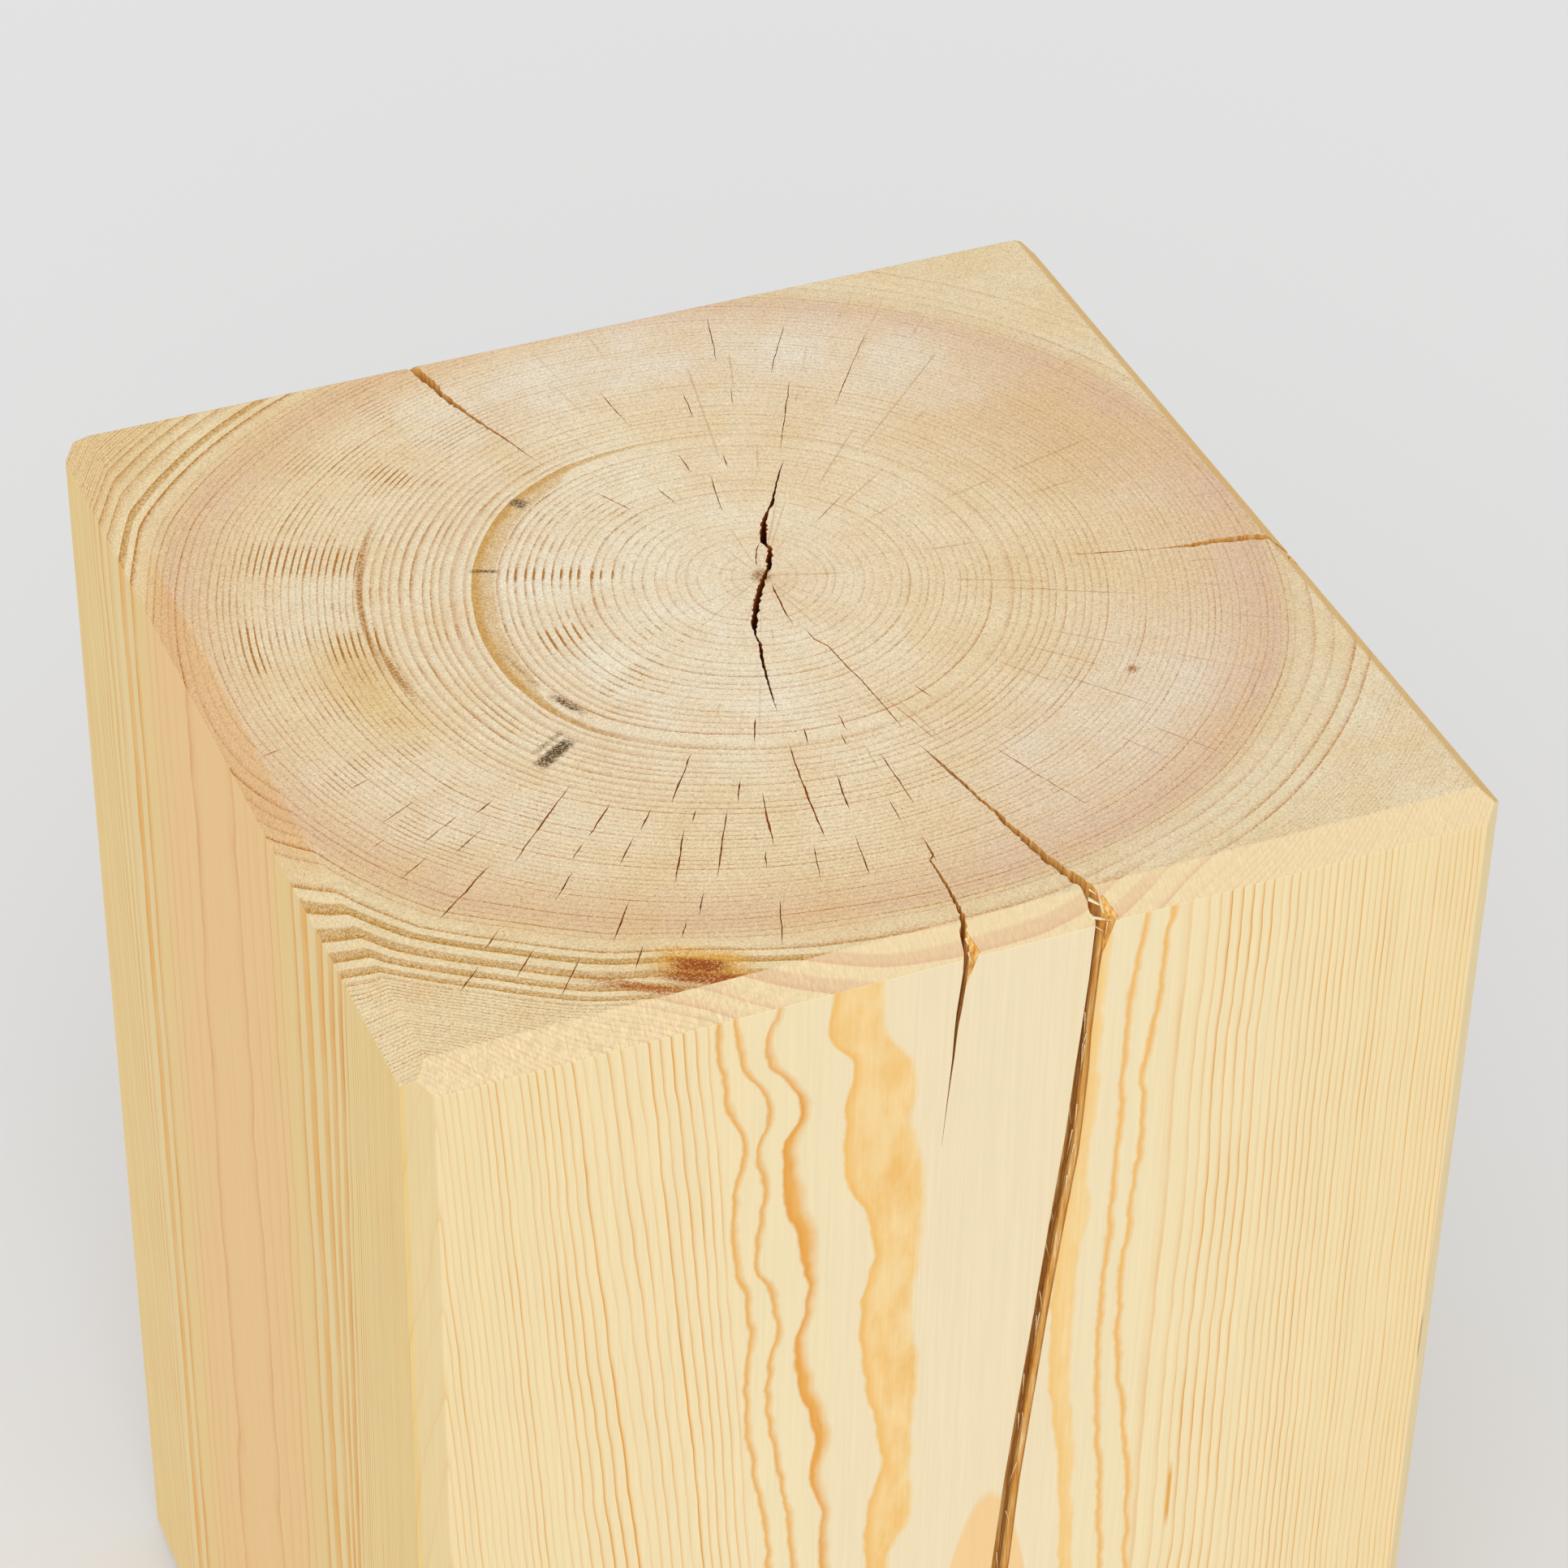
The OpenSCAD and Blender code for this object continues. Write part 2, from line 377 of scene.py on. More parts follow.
def stained(tree, rings, colour, marks, streaks):
    """Adds stains: direction and distance from the pith, softness of both, hex colour and strength."""
    for turns, radii, soft_turn, soft_radius, code, amount in marks:
        stain = put(tree, "Math", {
            0: soft_patch(tree, rings, turns, radii, soft_turn, soft_radius), 1: streaks}, "MULTIPLY")
        colour = put(tree, "Mix", {
            0: put(tree, "Math", {0: stain, 1: amount}, "MULTIPLY", use_clamp=True),
            1: colour, 2: linear(code)}, data_type="RGBA")
    return colour


# Clouds of colour on the top: pale and yellow ones left of the heart, warm ones at the right
CLOUDS = [
    ((172, 200), (108, 124), 8, 8, "#dfb65e", 0.55), ((154, 174), (110, 134), 7, 8, "#f0e6cc", 0.6),
    ((300, 345), (60, 110), 14, 22, "#e9cfa0", 0.25), ((15, 75), (70, 125), 18, 25, "#ecdcc0", 0.45),
    ((225, 275), (30, 62), 14, 14, "#f2e6cc", 0.5), ((195, 215), (84, 100), 8, 7, "#efe0bc", 0.5),
    ((4, 36), (88, 132), 12, 20, "#dcb27e", 0.5), ((40, 122), (96, 128), 14, 14, "#eee3cf", 0.85),
    ((282, 328), (88, 128), 12, 14, "#ece0cc", 0.7), ((195, 226), (112, 146), 10, 12, "#efe2c8", 0.6),
    ((128, 152), (178, 215), 8, 8, "#e2c07e", 0.5), ((310, 330), (165, 205), 10, 10, "#ede2c8", 0.4),
]
# Columns of dashes left of the heart: directions in degrees and distances from the pith
DASH_COLUMNS = [
    ((155.5, 160.5), (39, 70)), ((182, 190), (54, 66)), ((152.5, 158.5), (109, 139)),
    ((168, 177), (136, 142)), ((172, 178), (105, 120)), ((132, 136), (106, 119)),
]
# Marks that follow the fibres: brown spots in the brown ring, a dark ring beyond it, a grey bruise, and
# resin near the front
MARKS = [
    ((130, 132.8), (72.2, 76.8), 0.8, 1, "#5f5236", 0.95),
    ((156.6, 157.5), (71.4, 78.6), 0.5, 1, "#6a4a22", 1),
    ((203, 210), (76.2, 78.4), 2.5, 0.9, "#6e4a18", 1.2),
    ((186, 200), (76.6, 77.8), 4, 0.6, "#9a7236", 0.5),
    ((148, 178), (107.8, 109.3), 8, 0.7, "#b47a34", 1.1),
    ((178, 189), (105.6, 107.4), 4, 0.8, "#b47a34", 1.1), ((0, 360), (0, 2.4), 1, 2, "#9a6a30", 0.9),
    ((212.4, 214.7), (89, 102), 0.5, 2, "#5d441f", 1.1),
    ((210.6, 211.6), (87, 98), 0.5, 2, "#7a5c2c", 0.7),
    ((238.6, 246), (158, 168), 1.6, 2.6, "#e2a636", 0.95),
    ((240, 244.3), (161.6, 166), 1.4, 1.1, "#a0500a", 1.5),
    ((239.8, 247), (166.6, 170.4), 2.4, 1.1, "#a4540c", 1.5),
    ((234, 243), (172.4, 175.6), 3.5, 1.2, "#b0641a", 1.1),
    ((314.4, 316), (104.6, 107.4), 0.5, 0.8, "#a86420", 0.8),
]


def end_grain_colour(tree, rings, speckle):
    """Colour of the sawn end: pale heart, pink rim of the heartwood, sapwood in the corners."""
    across = put(tree, "Math", {0: rings["Heart radius"], 1: float(RING_REACH)}, "DIVIDE")
    left = put(tree, "ValToRGB", {0: across}, stops=[
        (0, "#eeddc0"), (0.05, "#f2e6cc"), (0.25, "#f3e8ce"), (0.42, "#f0dfbc"), (0.58, "#eed9b2"),
        (0.63, "#e7caa4"), (0.67, "#e3c19c"), (0.69, "#e8cda2"), (0.72, "#efdcb2"), (1, "#eedab0")])
    right = put(tree, "ValToRGB", {0: across}, stops=[
        (0, "#eedcbe"), (0.2, "#eedcb8"), (0.45, "#ebd5ae"), (0.58, "#e6ccaa"), (0.63, "#e2c4a6"),
        (0.67, "#dfbfa2"), (0.69, "#e4cda8"), (0.72, "#ead9b6"), (1, "#e9d6ac")])
    axes = put(tree, "SeparateXYZ", {0: rings["Place"]}).outputs
    to_right = put(tree, "MapRange", {
        "Value": axes["X"], "From Min": -30, "From Max": 50}, interpolation_type="SMOOTHSTEP")
    ground = put(tree, "Mix", {0: to_right, 1: left, 2: right}, data_type="RGBA")
    near_top = put(tree, "MapRange", {"Value": rings["Depth"], "From Min": 40, "From Max": 20})
    ground = stained(tree, rings, ground, CLOUDS, near_top)
    # Warm patches over some 20 mm
    cloud = put(tree, "MapRange", {
        "Value": put(tree, "TexNoise", {
            "Vector": rings["Place"], "Scale": 1 / 22, "Detail": 4.0, "Roughness": 0.6}),
        "From Min": 0.35, "From Max": 0.7, "To Max": 0.5})
    ground = put(tree, "Mix", {0: cloud, 1: ground, 2: linear("#e4c18a")}, data_type="RGBA")

    by_turn = put(tree, "FloatCurve", {"Value": rings["Turn"]}, points=[
        (0, 0.7), (0.12, 0.55), (0.25, 0.55), (0.32, 0.75), (0.42, 0.95), (0.56, 0.95), (0.62, 0.9),
        (0.75, 0.95), (0.87, 0.8), (1, 0.7)])
    by_radius = put(tree, "FloatCurve", {"Value": across}, points=[
        (0, 0.3), (0.08, 0.4), (0.17, 0.55), (0.26, 0.85), (0.45, 0.85), (0.62, 0.75), (0.7, 1.15),
        (0.82, 1.15), (1, 0.95)])
    weight = put(tree, "Math", {0: by_turn, 1: by_radius}, "MULTIPLY")
    # The sapwood of the two corners at the right hardly shows its rings
    faint = put(tree, "MapRange", {
        "Value": put(tree, "Math", {0: to_right, 1: across}, "MULTIPLY"),
        "From Min": 0.68, "From Max": 0.74, "To Min": 1, "To Max": 0.5})
    weight = put(tree, "Math", {
        0: weight, 1: put(tree, "Math", {0: faint, 1: rings["Strong"]}, "MAXIMUM")}, "MULTIPLY")
    # Rings are drawn by rows of cut fibres, so their lines are beaded
    beads = put(tree, "MapRange", {
        "Value": speckle, "From Min": 0.36, "From Max": 0.64, "To Min": 1.35, "To Max": 0.6})
    late = put(tree, "Math", {
        0: put(tree, "Math", {0: rings["Late wood"], 1: weight}, "MULTIPLY"),
        1: beads}, "MULTIPLY", use_clamp=True)
    autumn = put(tree, "Mix", {
        0: rings["Broad"], 1: linear("#b9761e"), 2: linear("#bf8a34")}, data_type="RGBA")
    # Left of the heart each ring darkens gently towards its line
    gathering = put(tree, "Math", {
        0: put(tree, "MapRange", {
            "Value": rings["Within"], "From Min": 0.4, "From Max": 0.8, "To Max": 0.34}),
        1: soft_patch(tree, rings, (120, 240), (62, 110), 24, 14)}, "MULTIPLY")
    late = put(tree, "Math", {0: late, 1: gathering}, "MAXIMUM")
    colour = put(tree, "Mix", {0: late, 1: ground, 2: autumn}, data_type="RGBA")

    # Columns of orange-brown dashes in the autumn wood, each some 6 degrees long, on the left only
    cells = put(tree, "CombineXYZ", {
        0: put(tree, "Math", {0: rings["Turn"], 1: 52.0}, "MULTIPLY"),
        1: put(tree, "Math", {0: rings["Radius"], 1: 1 / 17}, "MULTIPLY")})
    column = put(tree, "MapRange", {
        "Value": put(tree, "TexNoise", {"Vector": cells, "Scale": 1.0, "Detail": 1.0}),
        "From Min": 0.53, "From Max": 0.62})
    scattered = put(tree, "Math", {
        0: column, 1: soft_patch(tree, rings, (112, 222), (32, 148), 10, 6)}, "MULTIPLY")
    darkest = put(tree, "Math", {0: scattered, 1: 0.35}, "MULTIPLY")
    for turns, radii in DASH_COLUMNS:
        darkest = put(tree, "Math", {
            0: darkest, 1: soft_patch(tree, rings, turns, radii, 1.6, 3)}, "MAXIMUM")
    narrow = put(tree, "MapRange", {
        "Value": rings["Profile"], "From Min": 0.12, "From Max": 0.4, "To Max": 1.3})
    dashes = put(tree, "Math", {
        0: put(tree, "Math", {
            0: darkest, 1: put(tree, "Math", {0: narrow, 1: near_top}, "MULTIPLY")}, "MULTIPLY"),
        1: beads}, "MULTIPLY", use_clamp=True)
    colour = put(tree, "Mix", {0: dashes, 1: colour, 2: linear("#b4762a")}, data_type="RGBA")

    # One broad ring of olive-brown wood bows round the left of the heart, and narrows to both its ends
    inner_edge = put(tree, "FloatCurve", {"Value": rings["Turn"]}, points=[
        (0, 1), (0.2, 1), (0.23, 0.88), (0.28, 0.8), (0.31, 0.5), (0.335, 0.1), (0.36, 0), (0.54, 0),
        (0.565, 0.4), (0.6, 0.86), (0.66, 1), (1, 1)])
    filled = put(tree, "MapRange", {
        "Value": put(tree, "Math", {0: rings["Within"], 1: inner_edge}, "SUBTRACT"),
        "From Min": 0, "From Max": 0.9, "To Min": 0, "To Max": 0.5})
    edged = put(tree, "Math", {
        0: filled, 1: put(tree, "MapRange", {
            "Value": put(tree, "Math", {0: rings["Within"], 1: inner_edge}, "SUBTRACT"),
            "From Min": 0, "From Max": 0.1, "To Min": 0, "To Max": 0.4})}, "ADD")
    bow = put(tree, "Math", {
        0: put(tree, "Math", {0: rings["Ring"], 1: BROWN_YEAR, 2: 0.5}, "COMPARE"),
        1: edged}, "MULTIPLY")
    brown = put(tree, "Math", {
        0: bow, 1: put(tree, "MapRange", {
            "Value": speckle, "From Min": 0.38, "From Max": 0.62, "To Min": 1.2, "To Max": 0.75})},
        "MULTIPLY", use_clamp=True)
    colour = put(tree, "Mix", {0: brown, 1: colour, 2: linear("#cf9f50")}, data_type="RGBA")
    streaks = put(tree, "Math", {
        0: near_top, 1: put(tree, "MapRange", {
            "Value": speckle, "From Min": 0.62, "From Max": 0.4, "To Min": 0.4, "To Max": 1.1})},
        "MULTIPLY")
    colour = stained(tree, rings, colour, MARKS, streaks)
    return colour


def sawn_end_grain(group):
    """Sawn and lightly sanded end grain of pine: matt, with every ring drawn as a darker line."""
    material, tree, shader = new_finish("sawn_end_grain_pine", 0.7, 0.25)
    rings = put(tree, "Group", node_tree=group).outputs
    # Cut fibre ends about 0.05 mm across are too fine to show, so they are drawn 0.6 mm across
    speckle = put(tree, "TexNoise", {
        "Vector": rings["Place"], "Scale": 1 / 0.6, "Detail": 2.0, "Roughness": 0.7})
    colour = end_grain_colour(tree, rings, speckle)
    axes = put(tree, "SeparateXYZ", {0: rings["Place"]}).outputs

    # Resin canals: dots drawn 0.5 mm across, some 5 mm apart
    canals = put(tree, "TexVoronoi", {
        "Vector": rings["Place"], "Scale": 1 / 5.5}, voronoi_dimensions="2D")
    dots = put(tree, "MapRange", {"Value": canals.outputs["Distance"], "From Min": 0.07, "From Max": 0.03})
    colour = put(tree, "Mix", {
        0: put(tree, "Math", {0: dots, 1: 0.35}, "MULTIPLY"),
        1: colour, 2: linear("#8f5c2a")}, data_type="RGBA")

    # Hair cracks along the rays, most of all at the right: one in each 5 degrees, drawn 0.3 mm wide, open
    # for a stretch here and there
    ray_cells = put(tree, "Math", {0: rings["Turn"], 1: 72.0}, "MULTIPLY")
    cell = put(tree, "Math", {0: ray_cells}, "FLOOR")
    middle = put(tree, "MapRange", {
        "Value": put(tree, "TexWhiteNoise", {"W": cell}, noise_dimensions="1D"),
        "To Min": 0.1, "To Max": 0.9})
    stray = put(tree, "Math", {
        0: put(tree, "Math", {
            0: put(tree, "Math", {0: ray_cells}, "FRACT"), 1: middle}, "SUBTRACT")}, "ABSOLUTE")
    off_ray = put(tree, "Math", {
        0: put(tree, "Math", {0: stray, 1: rings["Radius"]}, "MULTIPLY"),
        1: math.tau / 72}, "MULTIPLY")
    opened = put(tree, "MapRange", {
        "Value": put(tree, "TexNoise", {
            "Vector": put(tree, "CombineXYZ", {
                0: put(tree, "Math", {0: cell, 1: 7.3}, "MULTIPLY"),
                1: put(tree, "Math", {0: rings["Radius"], 1: 1 / 38}, "MULTIPLY")}),
            "Scale": 1.0}),
        "From Min": 0.55, "From Max": 0.62})
    hair = put(tree, "Math", {
        0: put(tree, "MapRange", {"Value": off_ray, "From Min": 0.4, "From Max": 0.08}), 1: opened},
        "MULTIPLY")
    most = put(tree, "MapRange", {
        "Value": axes["X"], "From Min": -40, "From Max": 30, "To Min": 0.1, "To Max": 0.42})
    inner = put(tree, "MapRange", {"Value": rings["Radius"], "From Min": 150, "From Max": 125})
    colour = put(tree, "Mix", {
        0: put(tree, "Math", {
            0: put(tree, "Math", {0: hair, 1: most}, "MULTIPLY"), 1: inner}, "MULTIPLY"),
        1: colour, 2: linear("#b07a3c")}, data_type="RGBA")

    # On the chamfer along the left edge the heartwood is a little deeper in colour
    deeper = put(tree, "Math", {
        0: put(tree, "MapRange", {"Value": axes["X"], "From Min": 0.2 - EDGE_X, "From Max": -1 - EDGE_X}),
        1: put(tree, "MapRange", {
            "Value": rings["Heart radius"], "From Min": 173, "From Max": 163})}, "MULTIPLY")
    colour = put(tree, "Mix", {
        0: deeper, 1: colour, 2: linear("#fdf1dc")}, data_type="RGBA", blend_type="MULTIPLY")

    # The chamfer along the right edge has turned golden
    golden = put(tree, "Math", {
        0: put(tree, "MapRange", {"Value": axes["X"], "From Min": EDGE_X - 0.4, "From Max": EDGE_X + 1.2}),
        1: 0.75}, "MULTIPLY")
    colour = put(tree, "Mix", {0: golden, 1: colour, 2: linear("#ecbc66")}, data_type="RGBA")

    grain = put(tree, "MapRange", {
        "Value": speckle, "From Min": 0.3, "From Max": 0.7, "To Min": 0.8, "To Max": 1.18})
    colour = put(tree, "Mix", {0: 1.0, 1: colour, 2: grain}, data_type="RGBA", blend_type="MULTIPLY")
    dress(tree, shader, colour, speckle, 0.6, 0.4)
    return material


# Broad amber band down the front face: depth below the top and place of its left and its right edge
AMBER_BAND_LEFT = [
    (0, -39), (8, -40), (20, -41), (34, -34), (48, -36), (70, -35), (84, -29), (100, -27), (120, -30),
    (138, -29), (160, -25), (176, -22), (196, -26), (216, -25), (250, -22), (290, -24), (330, -18),
    (370, -20), (440, -15),
]
AMBER_BAND_RIGHT = [
    (0, -24), (22, -25), (40, -16), (56, -17), (74, -13), (100, -13), (128, -14), (144, -12),
    (180, -13), (200, -12), (216, -18), (250, -12), (300, -14), (350, -8), (400, -10), (440, -5),
]
# The same for the amber line left of it
AMBER_LINE_LEFT = [
    (0, -54), (8, -55.2), (20, -58.2), (34, -51.4), (42, -48.6), (56, -52.4), (74, -51.6), (88, -47.6),
    (106, -45.2), (126, -48.2), (140, -46.6), (160, -42), (176, -42.4), (192, -39.4), (210, -39.4),
    (250, -36), (290, -38), (330, -32), (370, -34), (440, -29),
]
AMBER_LINE_RIGHT = [
    (0, -52), (8, -53), (20, -55.4), (34, -48.4), (42, -45), (56, -47.6), (74, -45.6), (88, -42.4),
    (106, -42), (126, -44.4), (140, -41.4), (160, -37), (176, -38.6), (192, -36.4), (210, -36),
    (250, -33), (290, -34), (330, -29), (370, -30), (440, -26),
]
# Two thin lines further left, both as wide as THIN_LINE
THIN_LINE = 2.2
INNER_LINE = [
    (0, -66.8), (10, -66.4), (24, -64), (40, -57), (54, -60), (66, -58), (92, -60), (102, -56),
    (116, -54), (136, -56), (172, -52), (192, -49), (250, -45.5), (310, -47), (370, -41), (440, -37),
]
OUTER_LINE = [
    (0, -71.6), (16, -71), (36, -68), (50, -64), (66, -66), (86, -66), (104, -62.6), (116, -61),
    (136, -62.4), (172, -59), (192, -56), (250, -53), (310, -54), (370, -48.5), (440, -45),
]
# Pale amber band that follows the long check on its right, and two thin lines beyond it
EDGE_BAND_LEFT = [
    (0, 31.8), (48, 31.3), (71, 30.3), (98, 27.6), (158, 26.3), (185, 29.5), (210, 32.3), (300, 34),
    (440, 38),
]
EDGE_BAND_RIGHT = [
    (0, 37), (38, 35.6), (72, 35.3), (91, 33.9), (104, 36.2), (120, 33.6), (160, 33.6), (187, 35.5),
    (214, 37.1), (300, 40), (440, 43),
]
NEAR_LINE = [
    (0, 45.6), (9, 44.8), (29, 42.3), (58, 41.4), (110, 40.8), (148, 40.1), (187, 41.5), (228, 45),
    (300, 47), (440, 51),
]
FAR_LINE = [
    (0, 52.6), (11, 51.6), (42, 49), (60, 47.4), (81, 47.8), (110, 46.7), (134, 45.4), (165, 46.4),
    (190, 50), (218, 52.8), (300, 55), (440, 59),
]
# Stretch of the front face in which these edges lie
AMBER_FROM = -80
AMBER_SPAN = 150
# Years that these take the place of on the front, left and right of the long check: number of the ring,
# how far to both sides of it, and where they start to fade and are gone
HIDDEN_YEARS = [(70.5, 1.6, 16, 12), (69, 1.1, 26, 28)]


def thin_right(line):
    """Right edge of a thin line on the front, from its left edge."""
    return [(depth, place + THIN_LINE) for depth, place in line]


def planed_long_grain(group):
    """Planed sides of pine: satin, with amber autumn lines that run and sway along the grain."""
    material, tree, shader = new_finish("planed_long_grain_pine", 0.55, 0.3)
    rings = put(tree, "Group", node_tree=group).outputs
    axes = put(tree, "SeparateXYZ", {0: rings["Place"]}).outputs
    # Heartwood shows pink, young sapwood nearly white, and older sapwood cream
    across = put(tree, "Math", {0: rings["Heart radius"], 1: float(RING_REACH)}, "DIVIDE")
    pale = put(tree, "ValToRGB", {0: across}, stops=[
        (0, "#f5d3a4"), (0.68, "#f5d3a6"), (0.705, "#f2d8a6"), (0.735, "#efdeb9"), (0.8, "#f2dfb1"),
        (1, "#f1daa6")])
    amber = put(tree, "ValToRGB", {0: across}, stops=[
        (0, "#eab782"), (0.68, "#eab782"), (0.705, "#e3ac56"), (0.74, "#f2b348"), (0.8, "#e29b38"),
        (1, "#e1a240")])
    patchy = put(tree, "MapRange", {
        "Value": wood_noise(tree, rings["Place"], (14, 14, 30), 2.0),
        "From Min": 0.3, "From Max": 0.7, "To Min": 0.6, "To Max": 1.15})
    # The upright chamfers graze the rings, and show them faintly
    off_x = put(tree, "Math", {0: axes["X"]}, "ABSOLUTE")
    off_y = put(tree, "Math", {0: axes["Y"]}, "ABSOLUTE")
    upright = put(tree, "Math", {
        0: put(tree, "MapRange", {"Value": off_x, "From Min": EDGE_X - 1, "From Max": EDGE_X + 1}),
        1: put(tree, "MapRange", {"Value": off_y, "From Min": EDGE_Y - 1, "From Max": EDGE_Y + 1})},
        "MULTIPLY")
    clear = put(tree, "MapRange", {"Value": upright, "To Min": 1, "To Max": 0.2})
    at_front = put(tree, "MapRange", {
        "Value": axes["Y"], "From Min": FRONT + 1.5, "From Max": FRONT + 0.5})
    outside_band = 1.0
    for number, reach, start_x, full_x in HIDDEN_YEARS:
        own = put(tree, "Math", {
            0: put(tree, "Math", {0: rings["Ring"], 1: number, 2: reach}, "COMPARE"),
            1: put(tree, "MapRange", {
                "Value": axes["X"], "From Min": start_x, "From Max": full_x})}, "MULTIPLY")
        outside_band = put(tree, "Math", {
            0: outside_band, 1: put(tree, "Math", {0: own, 1: at_front}, "MULTIPLY")},
            "SUBTRACT", use_clamp=True)
    late = put(tree, "Math", {
        0: put(tree, "Math", {
            0: put(tree, "Math", {0: rings["Late wood"], 1: outside_band}, "MULTIPLY"),
            1: clear}, "MULTIPLY"),
        1: patchy}, "MULTIPLY", use_clamp=True)
    colour = put(tree, "Mix", {0: late, 1: pale, 2: amber}, data_type="RGBA")

    # Where the face only just touches one ring, its autumn wood spreads into a broad mottled band
    down = put(tree, "Math", {0: rings["Depth"], 1: float(BLOCK_H)}, "DIVIDE")
    ripple = put(tree, "Math", {
        0: put(tree, "Math", {
            0: wood_noise(tree, rings["Place"], (9, 9, 9), 3.0), 1: 0.5}, "SUBTRACT"),
        1: 3.6, 2: axes["X"]}, "MULTIPLY_ADD")
    mottle = put(tree, "MapRange", {
        "Value": wood_noise(tree, rings["Place"], (7, 7, 18), 4.0, 0.6),
        "From Min": 0.38, "From Max": 0.68, "To Max": 0.8})
    for left, right, fade, light, dark in (
            (AMBER_BAND_LEFT, AMBER_BAND_RIGHT, 1.5, "#f6d597", "#f0bb63"),
            (AMBER_LINE_LEFT, AMBER_LINE_RIGHT, 2.5, "#efb968", "#e69f3c"),
            (INNER_LINE, thin_right(INNER_LINE), 1.6, "#efb968", "#e8a848"),
            (OUTER_LINE, thin_right(OUTER_LINE), 1.6, "#efb968", "#e8a848"),
            (EDGE_BAND_LEFT, EDGE_BAND_RIGHT, 0.8, "#f6d597", "#f3c678"),
            (NEAR_LINE, thin_right(NEAR_LINE), 1, "#f2c680", "#efb968"),
            (FAR_LINE, thin_right(FAR_LINE), 1, "#f2c680", "#efb968")):
        past_left, past_right = [
            put(tree, "Math", {
                0: ripple, 1: put(tree, "Math", {
                    0: put(tree, "FloatCurve", {"Value": down}, points=[
                        (depth / BLOCK_H, (place - AMBER_FROM) / AMBER_SPAN) for depth, place in table],
                        bend="AUTO"),
                    1: AMBER_SPAN, 2: AMBER_FROM}, "MULTIPLY_ADD")}, "SUBTRACT")
            for table in (left, right)]
        inside = put(tree, "Math", {
            0: put(tree, "MapRange", {"Value": past_left, "From Min": -0.2, "From Max": 0.8}),
            1: put(tree, "MapRange", {"Value": past_right, "From Min": 0.5, "From Max": -fade})},
            "MULTIPLY")
        deep = put(tree, "Math", {
            0: put(tree, "MapRange", {"Value": past_left, "From Min": 4.5, "From Max": 0.5}),
            1: mottle}, "MAXIMUM")
        colour = put(tree, "Mix", {
            0: put(tree, "Math", {0: inside, 1: at_front}, "MULTIPLY"), 1: colour,
            2: put(tree, "Mix", {0: deep, 1: linear(light), 2: linear(dark)}, data_type="RGBA")},
            data_type="RGBA")

    # A rounded tongue of amber wood starts beside the long check, half way down
    aside = put(tree, "Math", {0: put(tree, "Math", {0: axes["X"], 1: 11}, "SUBTRACT"), 1: 2}, "POWER")
    below = put(tree, "Math", {
        0: put(tree, "Math", {0: rings["Depth"], 1: 200}, "SUBTRACT"),
        1: put(tree, "Math", {0: aside, 1: 0.22}, "MULTIPLY")}, "SUBTRACT")
    tongue = put(tree, "Math", {
        0: put(tree, "MapRange", {"Value": below, "From Min": 0, "From Max": 4}),
        1: put(tree, "MapRange", {
            "Value": rings["Depth"], "From Min": 330, "From Max": 260})}, "MULTIPLY")
    colour = put(tree, "Mix", {
        0: put(tree, "Math", {0: tongue, 1: at_front}, "MULTIPLY"),
        1: colour, 2: linear("#f3cd92")}, data_type="RGBA")

    # Painted shade: the left face is tinted a deeper yellow, standing in for the deeper shade on that
    # side, and the upright edges beside it a little darker
    left_face_painted_shade = put(tree, "MapRange", {
        "Value": axes["X"], "From Min": LEFT + 1.4, "From Max": LEFT + 0.6})
    left_edge = put(tree, "Math", {
        0: upright, 1: put(tree, "MapRange", {
            "Value": axes["X"], "From Min": 0.4 - EDGE_X, "From Max": -0.6 - EDGE_X})}, "MULTIPLY")
    for tinted, code in ((left_face_painted_shade, "#fff6d8"), (left_edge, "#f3efe7")):
        colour = put(tree, "Mix", {
            0: tinted, 1: colour, 2: linear(code)}, data_type="RGBA", blend_type="MULTIPLY")

    # A short streak of resin, and a thin dark line near the right edge
    for place_x, half_w, low, high, code, amount in (
            (67, 0.9, 210, 238, "#e3a03e", 0.95), (143, 0.5, 180, 200, "#b0834a", 0.8)):
        streak = put(tree, "Math", {
            0: near(tree, axes["X"], place_x, half_w, 0.3 * half_w, amount),
            1: near(tree, rings["Depth"], (low + high) / 2, (high - low) / 2, (high - low) / 4)},
            "MULTIPLY")
        colour = put(tree, "Mix", {
            0: put(tree, "Math", {0: streak, 1: at_front}, "MULTIPLY"),
            1: colour, 2: linear(code)}, data_type="RGBA")

    # Fibres about 0.05 mm wide are too fine to show, so they are drawn 0.8 mm wide and 40 mm long
    fibres = wood_noise(tree, rings["Place"], (0.8, 0.8, 40), 3.0, 0.6)
    grain = put(tree, "MapRange", {
        "Value": fibres, "From Min": 0.3, "From Max": 0.7, "To Min": 0.965, "To Max": 1.03})
    colour = put(tree, "Mix", {0: 1.0, 1: colour, 2: grain}, data_type="RGBA", blend_type="MULTIPLY")
    dress(tree, shader, colour, fibres, 0.15, 0.2)
    return material


